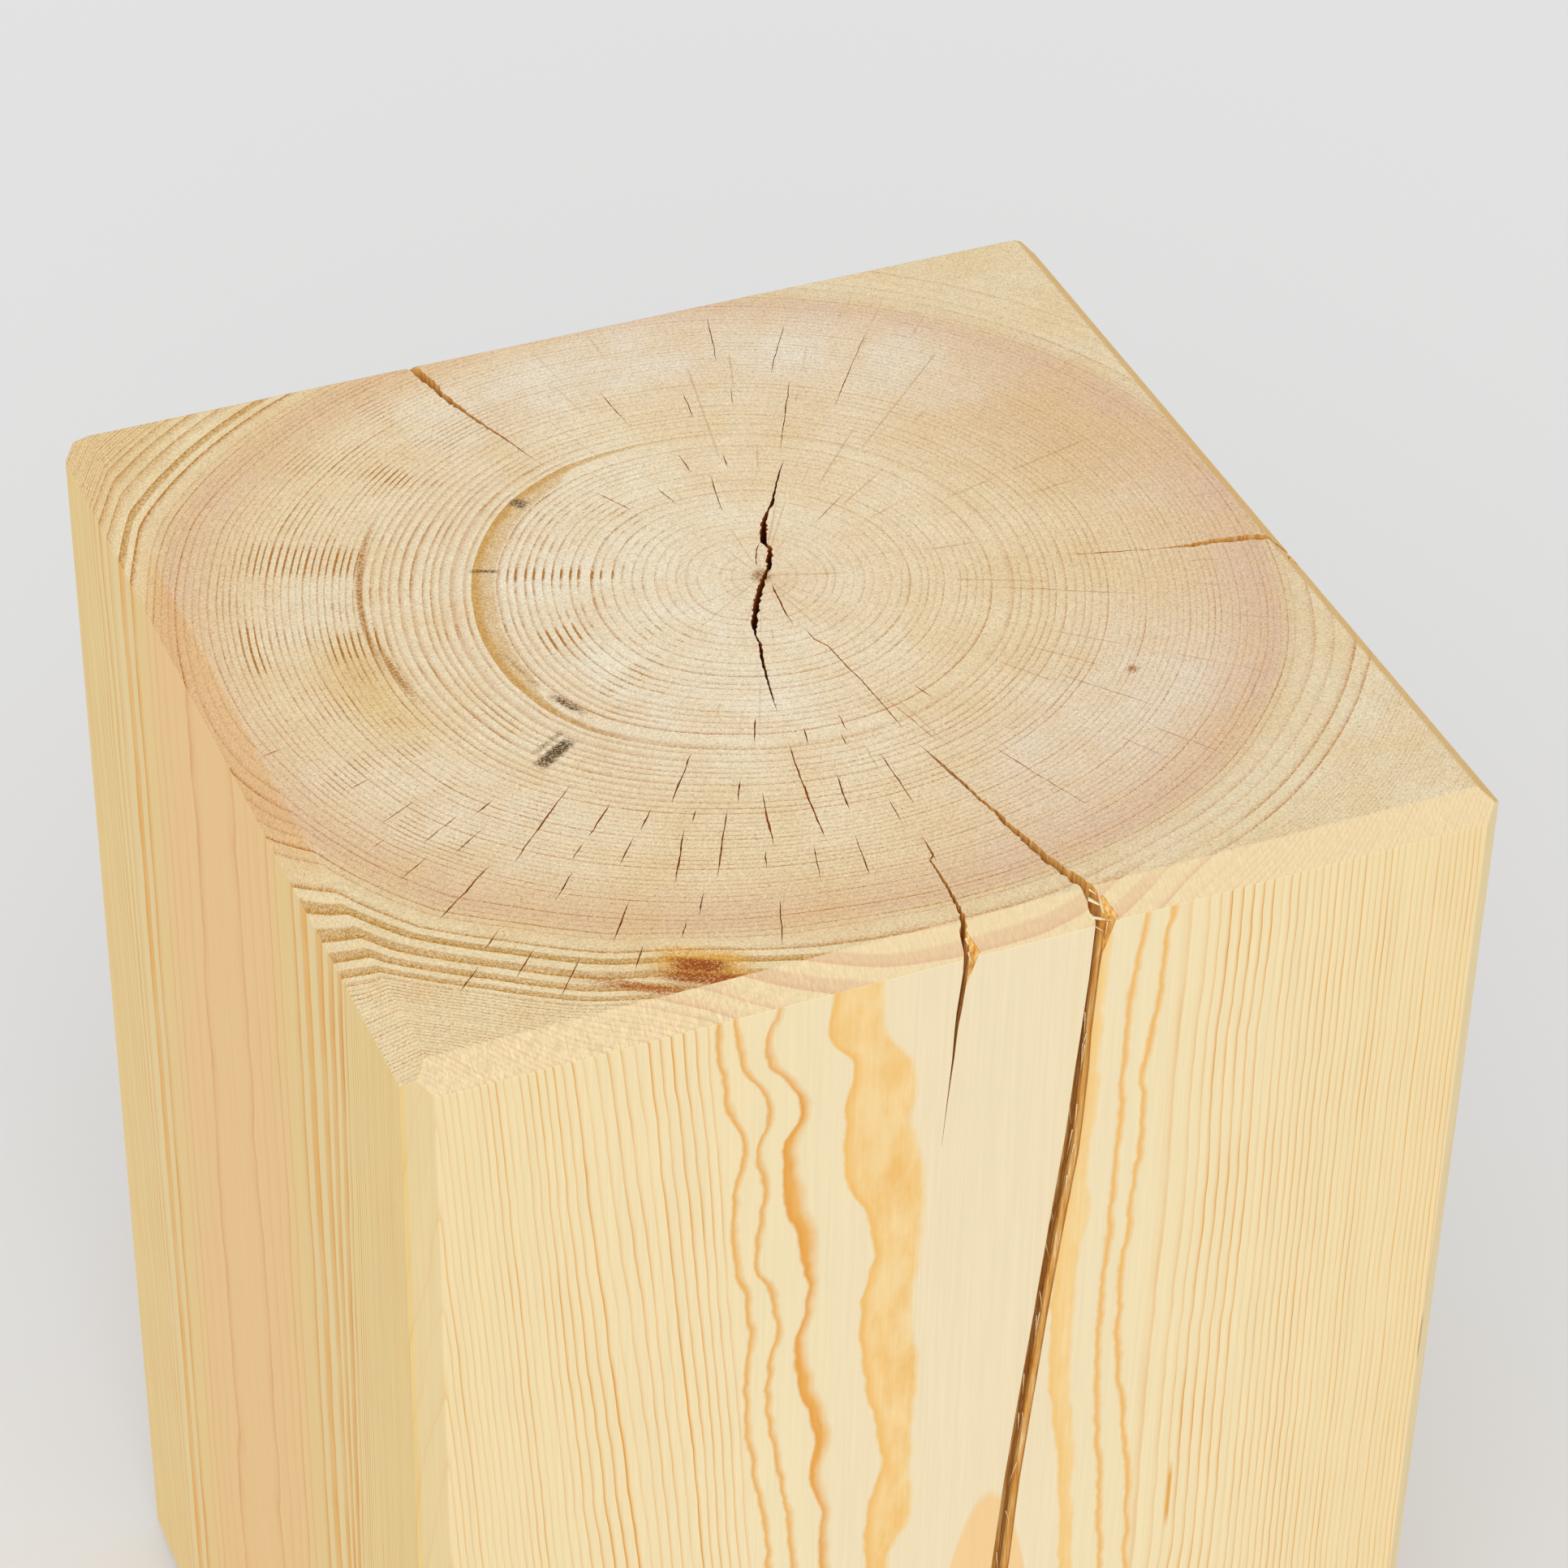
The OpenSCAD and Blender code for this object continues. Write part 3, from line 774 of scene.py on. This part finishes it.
def rough_chamfer(group):
    """Chamfers cut across the grain: pale, with tufts of torn fibre, most of all at the left."""
    material, tree, shader = new_finish("rough_chamfer_pine", 0.8, 0.2)
    rings = put(tree, "Group", node_tree=group).outputs
    axes = put(tree, "SeparateXYZ", {0: rings["Place"]}).outputs
    # Tufts are drawn about 0.8 mm wide and twice as long down the slope
    tufts = put(tree, "TexNoise", {
        "Vector": put(tree, "CombineXYZ", {
            0: put(tree, "Math", {0: axes["X"], 1: 1 / 0.8}, "MULTIPLY"),
            1: put(tree, "Math", {0: axes["Z"], 1: 1 / 1.7}, "MULTIPLY")}),
        "Scale": 1.0, "Detail": 3.0, "Roughness": 0.75, "Distortion": 0.6})
    at_left = put(tree, "MapRange", {
        "Value": axes["X"], "From Min": -20, "From Max": -75, "To Min": 0.4, "To Max": 1})
    colour = put(tree, "Mix", {
        0: put(tree, "Math", {
            0: rings["Late wood"], 1: put(tree, "MapRange", {
                "Value": axes["X"], "From Min": 20, "From Max": 60, "To Min": 0.6, "To Max": 0.45})},
            "MULTIPLY"),
        1: linear("#ead3a6"), 2: linear("#d8a684")}, data_type="RGBA")
    tone = put(tree, "MapRange", {
        "Value": tufts, "From Min": 0.33, "From Max": 0.67, "To Min": 0.85, "To Max": 1.15})
    colour = put(tree, "Mix", {0: at_left, 1: colour, 2: tone}, data_type="RGBA", blend_type="MULTIPLY")
    dress(tree, shader, colour, tufts, 0.7, 0.5)
    return material


def torn_fibre(group):
    """Walls of the checks, torn along the grain: orange brown, streaked down the fibres, and darker
    red-brown near the pith, partly their own colour and partly painted shade.
    """
    material, tree, shader = new_finish("torn_fibre_pine", 0.75, 0.2)
    rings = put(tree, "Group", node_tree=group).outputs
    streaks = wood_noise(tree, rings["Place"], (0.9, 0.9, 22), 3.0, 0.65)
    outside = put(tree, "ValToRGB", {0: streaks}, stops=[
        (0.3, "#c67e30"), (0.45, "#dfa752"), (0.58, "#ecbf74"), (0.7, "#f7e2b0")])
    inside = put(tree, "ValToRGB", {0: streaks}, stops=[
        (0.32, "#7c3410"), (0.5, "#a8561c"), (0.68, "#d08a40")])
    # Near the pith, down the deep heart check, the walls take the darker colours: partly their own
    # red-brown, partly painted shade of the deep crack
    away_from_heart_shade = put(tree, "MapRange", {"Value": rings["Radius"], "From Min": 60, "From Max": 112})
    colour = put(tree, "Mix", {0: away_from_heart_shade, 1: inside, 2: outside}, data_type="RGBA")
    dress(tree, shader, colour, streaks, 0.5, 0.4)
    return material


def patchy_finish(name, roughness, specular, patch, stops):
    """Plain finish in patches of one size in millimetres."""
    material, tree, shader = new_finish(name, roughness, specular)
    patches = put(tree, "TexNoise", {
        "Vector": millimetre_place(tree), "Scale": 1 / patch, "Detail": 2.0})
    dress(tree, shader, put(tree, "ValToRGB", {0: patches}, stops=stops))
    return material


def slit_wall():
    """Walls of the fine drying slits: resin-brown, and still light beside the heart check."""
    return patchy_finish("slit_wall_pine", 0.8, 0.15, 1.5, [
        (0.35, "#b05c14"), (0.5, "#cc7c2c"), (0.65, "#e6a450")])


def pale_splinter():
    """Fresh torn splinters of sapwood: ivory, silky along the fibre."""
    return patchy_finish("pale_splinter_pine", 0.5, 0.35, 0.7, [
        (0.35, "#e9c98a"), (0.5, "#f3e0b2"), (0.65, "#f9eed0")])


def mesh_object(bm, name):
    """Object from a bmesh that is in millimetres."""
    bmesh.ops.scale(bm, vec=(METRE, METRE, METRE), verts=bm.verts)
    bmesh.ops.recalc_face_normals(bm, faces=bm.faces)
    mesh = bpy.data.meshes.new(name)
    bm.to_mesh(mesh)
    bm.free()
    thing = bpy.data.objects.new(name, mesh)
    bpy.context.collection.objects.link(thing)
    return thing


# A face is level, or slopes, where its normal points up or down by more than this
LEVEL = 0.93
SLOPING = 0.3


def sawn_block():
    """Block with its twelve chamfers and lightly worn edges."""
    bm = bmesh.new()
    sides = Vector((BLOCK_W, BLOCK_D, BLOCK_H))
    bmesh.ops.create_cube(
        bm, size=1, matrix=Matrix.Translation((0, 0, BLOCK_H / 2)) @ Matrix.Diagonal((*sides, 1)))
    for first, second in ((0, 1), (0, 2), (1, 2)):
        for one in (-1, 1):
            for other in (-1, 1):
                outward = Vector((0, 0, 0))
                outward[first] = one
                outward[second] = other
                corner = Vector((0, 0, BLOCK_H / 2))
                corner[first] += one * (sides[first] / 2 - EDGE_CHAMFER)
                corner[second] += other * sides[second] / 2
                cut = bmesh.ops.bisect_plane(
                    bm, geom=bm.verts[:] + bm.edges[:] + bm.faces[:], dist=1e-5,
                    plane_co=corner, plane_no=outward.normalized(), clear_outer=True)
                rim = [e for e in cut["geom_cut"] if isinstance(e, bmesh.types.BMEdge)]
                bmesh.ops.edgeloop_fill(bm, edges=rim)
    bmesh.ops.remove_doubles(bm, verts=bm.verts, dist=1e-4)
    bmesh.ops.recalc_face_normals(bm, faces=bm.faces)
    bmesh.ops.bevel(
        bm, geom=bm.edges[:], offset=EDGE_WEAR, affect="EDGES", segments=2, profile=0.5, material=-1)
    bm.normal_update()
    for face in bm.faces:
        across, along, steep = (abs(part) for part in face.normal)
        sawn = steep > LEVEL or steep > SLOPING and across > along
        face.material_index = END_GRAIN if sawn else CHAMFER if steep > SLOPING else LONG_GRAIN
    return mesh_object(bm, "pine_block")


# A check that is narrower than this has closed; its edges stray by this share of half its opening at most
LEAST_OPENING = 0.04
MOST_STRAY = 0.45


def torn_outline(line, step, tear):
    """Plan of a check around its centre line of points (x, y, opening), with torn edges."""
    left, right = [], []
    for (x0, y0, open0), (x1, y1, open1) in zip(line, line[1:]):
        along = Vector((x1 - x0, y1 - y0))
        steps = max(1, round(along.length / step))
        across = Vector((-along.y, along.x)).normalized()
        for i in range(steps):
            share = i / steps
            middle = Vector((x0, y0)) + along * share
            half = (open0 + (open1 - open0) * share) / 2
            loose = min(tear, MOST_STRAY * half)
            if half > LEAST_OPENING / 2:
                left.append(middle + across * (half + random.uniform(-loose, loose)))
                right.append(middle - across * (half + random.uniform(-loose, loose)))
            else:
                left.append(middle)
    x, y, opening = line[-1]
    if opening > LEAST_OPENING:
        left.append(Vector((x, y)) + across * opening / 2)
        right.append(Vector((x, y)) - across * opening / 2)
    else:
        left.append(Vector((x, y)))
    return left + right[::-1]


def plan_face(bm, outline, surface=TORN):
    """Face above the block's top with the outline of a cut."""
    face = bm.faces.new([bm.verts.new((p.x, p.y, BLOCK_H + PAST)) for p in outline])
    face.material_index = surface
    return face


def deepen(bm, face, drop, shift=(0, 0), opening=1.0, mouth=None):
    """Draws the face of a cut down by one stretch, moved aside and opened across its mouth."""
    first = all(edge.is_boundary for edge in face.edges)
    grown = bmesh.ops.extrude_face_region(bm, geom=[face])["geom"]
    if not first:
        bmesh.ops.delete(bm, geom=[face], context="FACES_ONLY")
    verts = [v for v in grown if isinstance(v, bmesh.types.BMVert)]
    if opening != 1.0:
        bmesh.ops.scale(bm, vec=(opening, 1, 1), space=mouth.inverted(), verts=verts)
    bmesh.ops.translate(bm, vec=(*shift, -drop), verts=verts)
    return next(f for f in grown if isinstance(f, bmesh.types.BMFace))


HEART_CHECK = [
    (34.2, 60.1, 0), (30.8, 55.1, 0.4), (27.6, 49.9, 0.5), (24.7, 44.8, 0.7), (22.6, 41.1, 1.1),
    (20.4, 38.6, 0.6), (17.9, 35.2, 1.5), (15.4, 29.9, 2), (13.8, 26.2, 1.9), (13.8, 23.6, 0.9),
    (14, 21.6, 1.4), (12.3, 17.9, 1.7), (10.6, 14.2, 1.4), (8.2, 11.2, 1), (6.1, 8.2, 1.5),
    (3.1, 3.4, 1.8), (0.4, -1.4, 1.9), (-2.2, -6.3, 1.8), (-3.6, -9.9, 1.2), (-4.7, -12.8, 0.5),
    (-5, -15.2, 0.5), (-5, -16.8, 0.9), (-6.2, -20.6, 0.9), (-8.1, -27.2, 0.8), (-9.5, -33.2, 0.6),
    (-11.2, -40.6, 0.4), (-12.6, -47.5, 0),
]
HEART_CHECK_DEPTH = 60
LONG_CHECK = [
    (16.1, -71.6, 0), (17.9, -79.4, 0.4), (19.4, -86.6, 0.5), (20.7, -93.8, 0.8), (21.6, -99.5, 0.8),
    (23.1, -104.7, 1.1), (23.8, -110.9, 1.3), (24.9, -116.3, 1.5), (26.2, -122.3, 2),
    (27.5, -127.9, 2.4), (29, -133.1, 2.6), (30.8, -138.3, 2.9), (32.1, -141.9, 3.2),
    (33.4, -148.5, 3.2), (34.8, -155, 3.2),
]
# Depth below the top, place on the front face and opening there
LONG_CHECK_RUN = [
    (0, 33, 3.2), (24, 31.6, 2.6), (43, 30.5, 3.1), (54, 30.1, 4.1), (75, 29, 4.7), (84, 28.3, 5.1),
    (112, 25.4, 4.7), (140, 22.8, 4.4), (170, 20.1, 4.8), (200, 17.5, 5), (232, 15.6, 5.6),
    (270, 12.7, 5.3), (310, 9.6, 5.4), (350, 6.6, 5), (400, 3, 5.2), (450, -0.8, 5.2),
]
SHORT_CHECK = [
    (1.6, -107.3, 0), (1.5, -115.5, 0.35), (-0.3, -117.3, 0.5), (-0.4, -124.3, 0.7),
    (-0.7, -129.5, 0.8), (-1.1, -134.7, 1.1), (-1.7, -139.8, 1.3), (-2.9, -143.5, 1.9),
    (-3.8, -148.5, 1.7), (-4.4, -155, 1.7),
]
SHORT_CHECK_RUN = [
    (0, -3.8, 1.7), (11, -4, 1.5), (24, -5.3, 1.4), (29, -5.8, 1), (39, -6.3, 0.6), (52, -7.3, 0.3),
    (68, -8.4, 0.05),
]
BACK_CHECK = [
    (-29.6, 81.6, 0), (-34.8, 97.7, 0.6), (-38.2, 106.9, 0.9), (-40.5, 113.8, 1.1), (-42.5, 120.1, 1.6),
    (-44.3, 126.4, 1.7), (-44, 128.7, 2.1), (-45.4, 134.5, 2.9), (-46.8, 139.6, 2.7),
    (-49.5, 148.5, 2.7), (-51.4, 155, 2.7),
]
BACK_CHECK_RUN = [
    (0, -49.5, 2.7), (15, -49.8, 2.5), (32, -50.4, 1.9), (55, -50.2, 1.1), (75, -49.9, 0.5),
    (90, -49.6, 0.05),
]
RIGHT_CHECK = [
    (111.5, -16.5, 0), (121.4, -18.5, 1.3), (127.8, -19.2, 1.9), (134.8, -20.4, 2.4),
    (138.8, -21.2, 2.7), (142.5, -22.5, 2.6), (150, -24, 2.7), (157, -25.4, 2.7),
]
RIGHT_CHECK_RUN = [
    (0, -24, 2.7), (18, -24.3, 2.4), (38, -24.9, 1.8), (60, -25.4, 1), (78, -25.8, 0.45),
    (90, -26, 0.05),
]
# Turn of the mouths, in degrees
LONG_CHECK_TURN = 12.5
SHORT_CHECK_TURN = -5.5
BACK_CHECK_TURN = 16.5
RIGHT_CHECK_TURN = 78.5
# Length of one torn tooth along a check, and how far it strays
TOOTH = 1
TEAR = 0.42


def face_check(bm, line, run, turn, sideways=False):
    """Cutter of a check that runs down a side face; the last point but one of its line is its mouth."""
    face = plan_face(bm, torn_outline(line, TOOTH, TEAR))
    mouth = Matrix.Translation((*line[-2][:2], 0)) @ Matrix.Rotation(math.radians(turn), 4, "Z")
    face = deepen(bm, face, PAST)
    for (depth0, place0, open0), (depth1, place1, open1) in zip(run, run[1:]):
        move = place1 - place0
        shift = (0, move) if sideways else (move, 0)
        face = deepen(bm, face, depth1 - depth0, shift, open1 / open0, mouth)
        mouth = Matrix.Translation((*shift, 0)) @ mouth


def check_cutters():
    """The five checks as one cutter."""
    bm = bmesh.new()
    face = plan_face(bm, torn_outline(HEART_CHECK, TOOTH, TEAR))
    deepen(bm, face, PAST + HEART_CHECK_DEPTH)
    face_check(bm, LONG_CHECK, LONG_CHECK_RUN, LONG_CHECK_TURN)
    face_check(bm, SHORT_CHECK, SHORT_CHECK_RUN, SHORT_CHECK_TURN)
    face_check(bm, BACK_CHECK, BACK_CHECK_RUN, BACK_CHECK_TURN)
    face_check(bm, RIGHT_CHECK, RIGHT_CHECK_RUN, RIGHT_CHECK_TURN, sideways=True)
    return mesh_object(bm, "check_cutters")


# Fine drying slits on top: direction from the pith in degrees at the inner and the outer end, distance
# from it at both, and opening
DRYING_SLITS = [
    (246, 246, 63, 74, 0.55), (234.5, 234.5, 80, 102, 0.4), (253, 255.6, 74, 114, 0.55),
    (265.5, 265.5, 64, 72, 0.35), (256.7, 256.7, 68, 75, 0.35), (264, 264, 72, 78, 0.35),
    (278.5, 280, 62, 86, 0.25), (287.4, 287.4, 62, 71, 0.3), (244, 244, 89, 99, 0.4),
    (247.6, 249, 94, 116, 0.5), (260, 260, 88, 104, 0.4), (269, 269, 83, 107, 0.4),
    (276.5, 277.8, 84, 118, 0.35), (266, 266, 101, 113, 0.35), (238.2, 238.2, 103, 109, 0.35),
    (232, 232, 105, 115, 0.35), (237.4, 238.2, 111, 133, 0.5), (231.6, 231.6, 117, 130, 0.4),
    (242.6, 242.6, 102, 130, 0.4), (248, 248, 118, 126, 0.35), (254, 254, 116, 131, 0.4),
    (259.5, 259.5, 113, 131, 0.4), (267.4, 267.4, 118, 130, 0.4), (286.4, 287.8, 95, 130, 0.25),
    (241.4, 241.4, 135, 145, 0.35), (234.2, 234.2, 142, 159, 0.55), (240.2, 240.2, 147, 154, 0.35),
    (249.4, 249.4, 137, 156, 0.4), (236.9, 236.9, 158, 168, 0.4), (309, 309, 86, 117, 0.22),
    (305, 305, 120, 142, 0.22), (345.3, 345.3, 83, 110, 0.35), (334, 334, 60, 105, 0.2),
    (219.6, 221, 104, 140, 0.4), (226.4, 226.4, 107, 122, 0.4), (212.8, 212.8, 120, 128, 0.35),
    (215, 215, 130, 145, 0.4), (226.3, 226.3, 124, 132, 0.35), (227.2, 227.2, 135, 149, 0.4),
    (219, 219, 142, 167, 0.5), (211.3, 211.3, 130, 145, 0.35), (206, 206, 132, 146, 0.35),
    (199.6, 199.6, 134, 142, 0.35), (190, 190, 146, 154, 0.4), (191.2, 192.2, 157, 162, 0.5),
    (213, 213, 147, 160, 0.35), (224.2, 224.2, 163, 172, 0.4), (224.7, 224.7, 178, 189, 0.4),
    (228, 228, 166, 180, 0.35), (232, 232, 166, 184, 0.35), (208, 208, 149, 154, 0.35),
    (62.7, 62.7, 60, 96, 0.35), (89.5, 89.5, 52, 62, 0.35), (102.7, 102.7, 40, 50, 0.4),
    (117.5, 117.5, 46, 60, 0.35), (87, 84, 31, 50, 0.3), (78, 78, 52, 60, 0.3), (73, 73, 83, 92, 0.3),
    (81.7, 81.7, 78, 92, 0.3), (66, 64.5, 98, 125, 0.3), (74.5, 74.5, 105, 130, 0.3),
    (95, 95, 80, 100, 0.25), (53.5, 53.5, 85, 125, 0.22), (37.5, 37.5, 28, 48, 0.22),
]
SLIT_DEPTH = 1.1
# The slits are drawn wider than their table says by this much, so that they show
SLIT_WIDENING = 1.2
# Length of one stretch of a slit, how far its joints stray, and its torn teeth
SLIT_STRETCH = 4
SLIT_STRAY = 0.18
SLIT_TOOTH = 1.2
SLIT_TEAR = 0.1
# Cracks beside the heart check, as points with their opening: round the island, and from the pith
HEART_CRACKS = [
    [(12.6, 25.6, 0), (10.5, 22.9, 0.4), (8.5, 18.5, 0.4), (7.4, 15, 0)],
    [(8.1, 6.6, 0), (7.6, 3, 0.45), (7.3, 0.1, 0.45), (6.6, -6.4, 0.4), (6.2, -13.8, 0)],
    [(8.4, -14.7, 0), (9.1, -20.8, 0.4), (11.3, -25, 0.35), (12.4, -35.3, 0.35), (13.4, -41.4, 0.3),
     (14.4, -52, 0.3), (15, -60, 0.3), (15.4, -66, 0)],
]


def one_slit(bm, line):
    """Cutter of one slit along its centre line."""
    face = plan_face(bm, torn_outline(line, SLIT_TOOTH, SLIT_TEAR), SLIT)
    deepen(bm, face, PAST + SLIT_DEPTH)


def slit_cutters():
    """All the fine slits as one cutter."""
    bm = bmesh.new()
    for turn0, turn1, r0, r1, opening in DRYING_SLITS:
        stretches = max(3, round((r1 - r0) / SLIT_STRETCH))
        line = []
        for i in range(stretches + 1):
            share = i / stretches
            turn = math.radians(turn0 + (turn1 - turn0) * share)
            r = r0 + (r1 - r0) * share
            stray = wide = 0
            if 0 < i < stretches:
                stray = random.uniform(-SLIT_STRAY, SLIT_STRAY)
                wide = SLIT_WIDENING * opening * math.sin(math.pi * share) ** 0.4 * random.uniform(0.5, 1)
            line.append((
                PITH_X + r * math.cos(turn) - stray * math.sin(turn),
                PITH_Y + r * math.sin(turn) + stray * math.cos(turn), wide))
        one_slit(bm, line)
    for line in HEART_CRACKS:
        one_slit(bm, line)
    return mesh_object(bm, "slit_cutters")


# Flakes lost beside the checks, two at the right lip of each front check and one on the right edge: root
# and tip as x, y and depth below the top, width and thickness
CHIPS = [
    ((36, -148.2, 6.4), (33.6, -148.7, 17), 4.6, 2.2), ((36.2, -148.2, 6.6), (35, -143.6, 2.1), 4.2, 2),
    ((-1.8, -148.2, 6.4), (-4.2, -148.7, 16), 4.6, 2.2),
    ((-1.7, -148.2, 6.6), (-2.7, -143.4, 1.9), 4.2, 2), ((149, -28, 6), (145.6, -31.5, 2.4), 6, 3),
]
# The same for the splinters that still hang at the two front checks
SPLINTERS = [
    ((31.4, -143.4, 2.2), (36.6, -145.6, 5.6), 1.7, 0.6),
    ((31, -146.6, 5.6), (38.4, -147.3, 8.6), 1.5, 0.6),
    ((32.4, -141.6, 0.8), (34.8, -142.8, 3), 0.9, 0.4),
    ((32, -147.4, 8.4), (35, -147.9, 11), 0.7, 0.35),
    ((-2.6, -144.6, 3.6), (-1, -146.9, 8.8), 1.1, 0.5),
    ((-2.9, -146.8, 6.4), (-1.4, -147.8, 11.4), 0.9, 0.4),
]
# Hairs beside each stretch of the long check, how far they stray from it up and down, the plane that they
# start behind, and their width and thickness, drawn coarser than real ones so that they show
HAIRS = 3
HAIR_STRAY = 14
HAIR_FACE = FRONT + 0.5
HAIR_W = 0.35
HAIR_T = 0.25


def splinter(bm, root, tip, width, thickness):
    """Flat tapering splinter from its root to its tip."""
    start, end = (Vector((x, y, BLOCK_H - depth)) for x, y, depth in (root, tip))
    run = end - start
    turn = run.to_track_quat("Z", "Y").to_matrix().to_4x4()
    place = Matrix.Translation((start + end) / 2) @ turn @ Matrix.Diagonal((1, thickness / width, 1, 1))
    bmesh.ops.create_cone(
        bm, cap_ends=True, segments=6, radius1=width / 2, radius2=width / 9, depth=run.length,
        matrix=place)


def chip_cutter():
    """The lost flakes as one cutter."""
    bm = bmesh.new()
    for chip in CHIPS:
        splinter(bm, *chip)
    for face in bm.faces:
        face.material_index = TORN
    return mesh_object(bm, "chip_cutter")


# Points nearer to each other than this are joined after the carving
WELD = 0.002


def carve(block, cutter):
    """Takes a cutter out of the block."""
    cut = block.modifiers.new("carve", "BOOLEAN")
    cut.operation = "DIFFERENCE"
    cut.solver = "EXACT"
    cut.use_self = True
    cut.material_mode = "INDEX"
    cut.object = cutter
    carved = bpy.data.meshes.new_from_object(block.evaluated_get(bpy.context.evaluated_depsgraph_get()))
    block.modifiers.clear()
    block.data = carved
    bpy.data.objects.remove(cutter)


def weld(block):
    """Joins points that the carving left all but touching, so that the block stays closed."""
    bm = bmesh.new()
    bm.from_mesh(block.data)
    bmesh.ops.triangulate(bm, faces=bm.faces)
    bmesh.ops.remove_doubles(bm, verts=bm.verts, dist=WELD * METRE)
    bmesh.ops.dissolve_degenerate(bm, dist=WELD * METRE, edges=bm.edges)
    bm.to_mesh(block.data)
    bm.free()


def torn_fibres():
    """Splinters and hairs that still hang at the mouths of the two front checks."""
    bm = bmesh.new()
    for one in SPLINTERS:
        splinter(bm, *one)
    for depth, place, width in LONG_CHECK_RUN[2:14]:
        for _ in range(HAIRS):
            at = depth + random.uniform(-HAIR_STRAY, HAIR_STRAY)
            edge = place + random.uniform(-0.5, 0.5) * width
            root = (edge, HAIR_FACE + random.uniform(0.4, 2), at)
            tip = (
                edge + random.uniform(-2, 2), HAIR_FACE + random.uniform(0.2, 1.2),
                at + random.uniform(4, 9))
            splinter(bm, root, tip, HAIR_W, HAIR_T)
    for face in bm.faces:
        face.smooth = True
    return mesh_object(bm, "torn_fibres")


# Half the side of the floor, the light from all round, and the lamp: its strength, its spread in degrees
# and the direction that it shines from
FLOOR_REACH = 15000
AROUND_STRENGTH = 0.68
LAMP_STRENGTH = 1.38
LAMP_SPREAD = 55
LAMP_FROM = (-0.32, -0.66, 0.68)


def plain_floor():
    """Wide pale floor that takes the block's shadow."""
    bm = bmesh.new()
    bmesh.ops.create_grid(bm, x_segments=1, y_segments=1, size=FLOOR_REACH)
    floor = mesh_object(bm, "floor")
    material, tree, shader = new_finish("matt_pale_floor", 0.9, 0.0)
    shader.inputs["Base Color"].default_value = linear("#e5e5e5")
    floor.data.materials.append(material)


def studio_light():
    """Even light from all round and one very wide soft lamp from the front left."""
    world = bpy.data.worlds.new("studio")
    bpy.context.scene.world = world
    world.use_nodes = True
    tree = world.node_tree
    tree.nodes.clear()
    seen = put(tree, "LightPath")
    around = put(tree, "Background", {"Color": (1, 1, 1, 1), "Strength": AROUND_STRENGTH})
    backdrop = put(tree, "Background", {"Color": linear("#e3e3e3"), "Strength": 1.0})
    either = put(tree, "MixShader", {0: seen.outputs["Is Camera Ray"], 1: around, 2: backdrop})
    put(tree, "OutputWorld", {"Surface": either})
    data = bpy.data.lights.new("soft_lamp", "SUN")
    data.energy = LAMP_STRENGTH
    data.angle = math.radians(LAMP_SPREAD)
    lamp = bpy.data.objects.new("soft_lamp", data)
    lamp.rotation_euler = Vector(LAMP_FROM).to_track_quat("Z", "Y").to_euler()
    bpy.context.collection.objects.link(lamp)


random.seed(25)
bpy.context.scene.view_settings.view_transform = "Standard"
photo_camera()
studio_light()
plain_floor()

rings = growth_rings()
block = sawn_block()
carve(block, check_cutters())
carve(block, slit_cutters())
carve(block, chip_cutter())
weld(block)
for material in (
        sawn_end_grain(rings), planed_long_grain(rings), rough_chamfer(rings), torn_fibre(rings),
        slit_wall()):
    block.data.materials.append(material)
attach(block, "root")
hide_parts("wood_block")

fibres = torn_fibres()
fibres.data.materials.append(pale_splinter())
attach(fibres, "root")
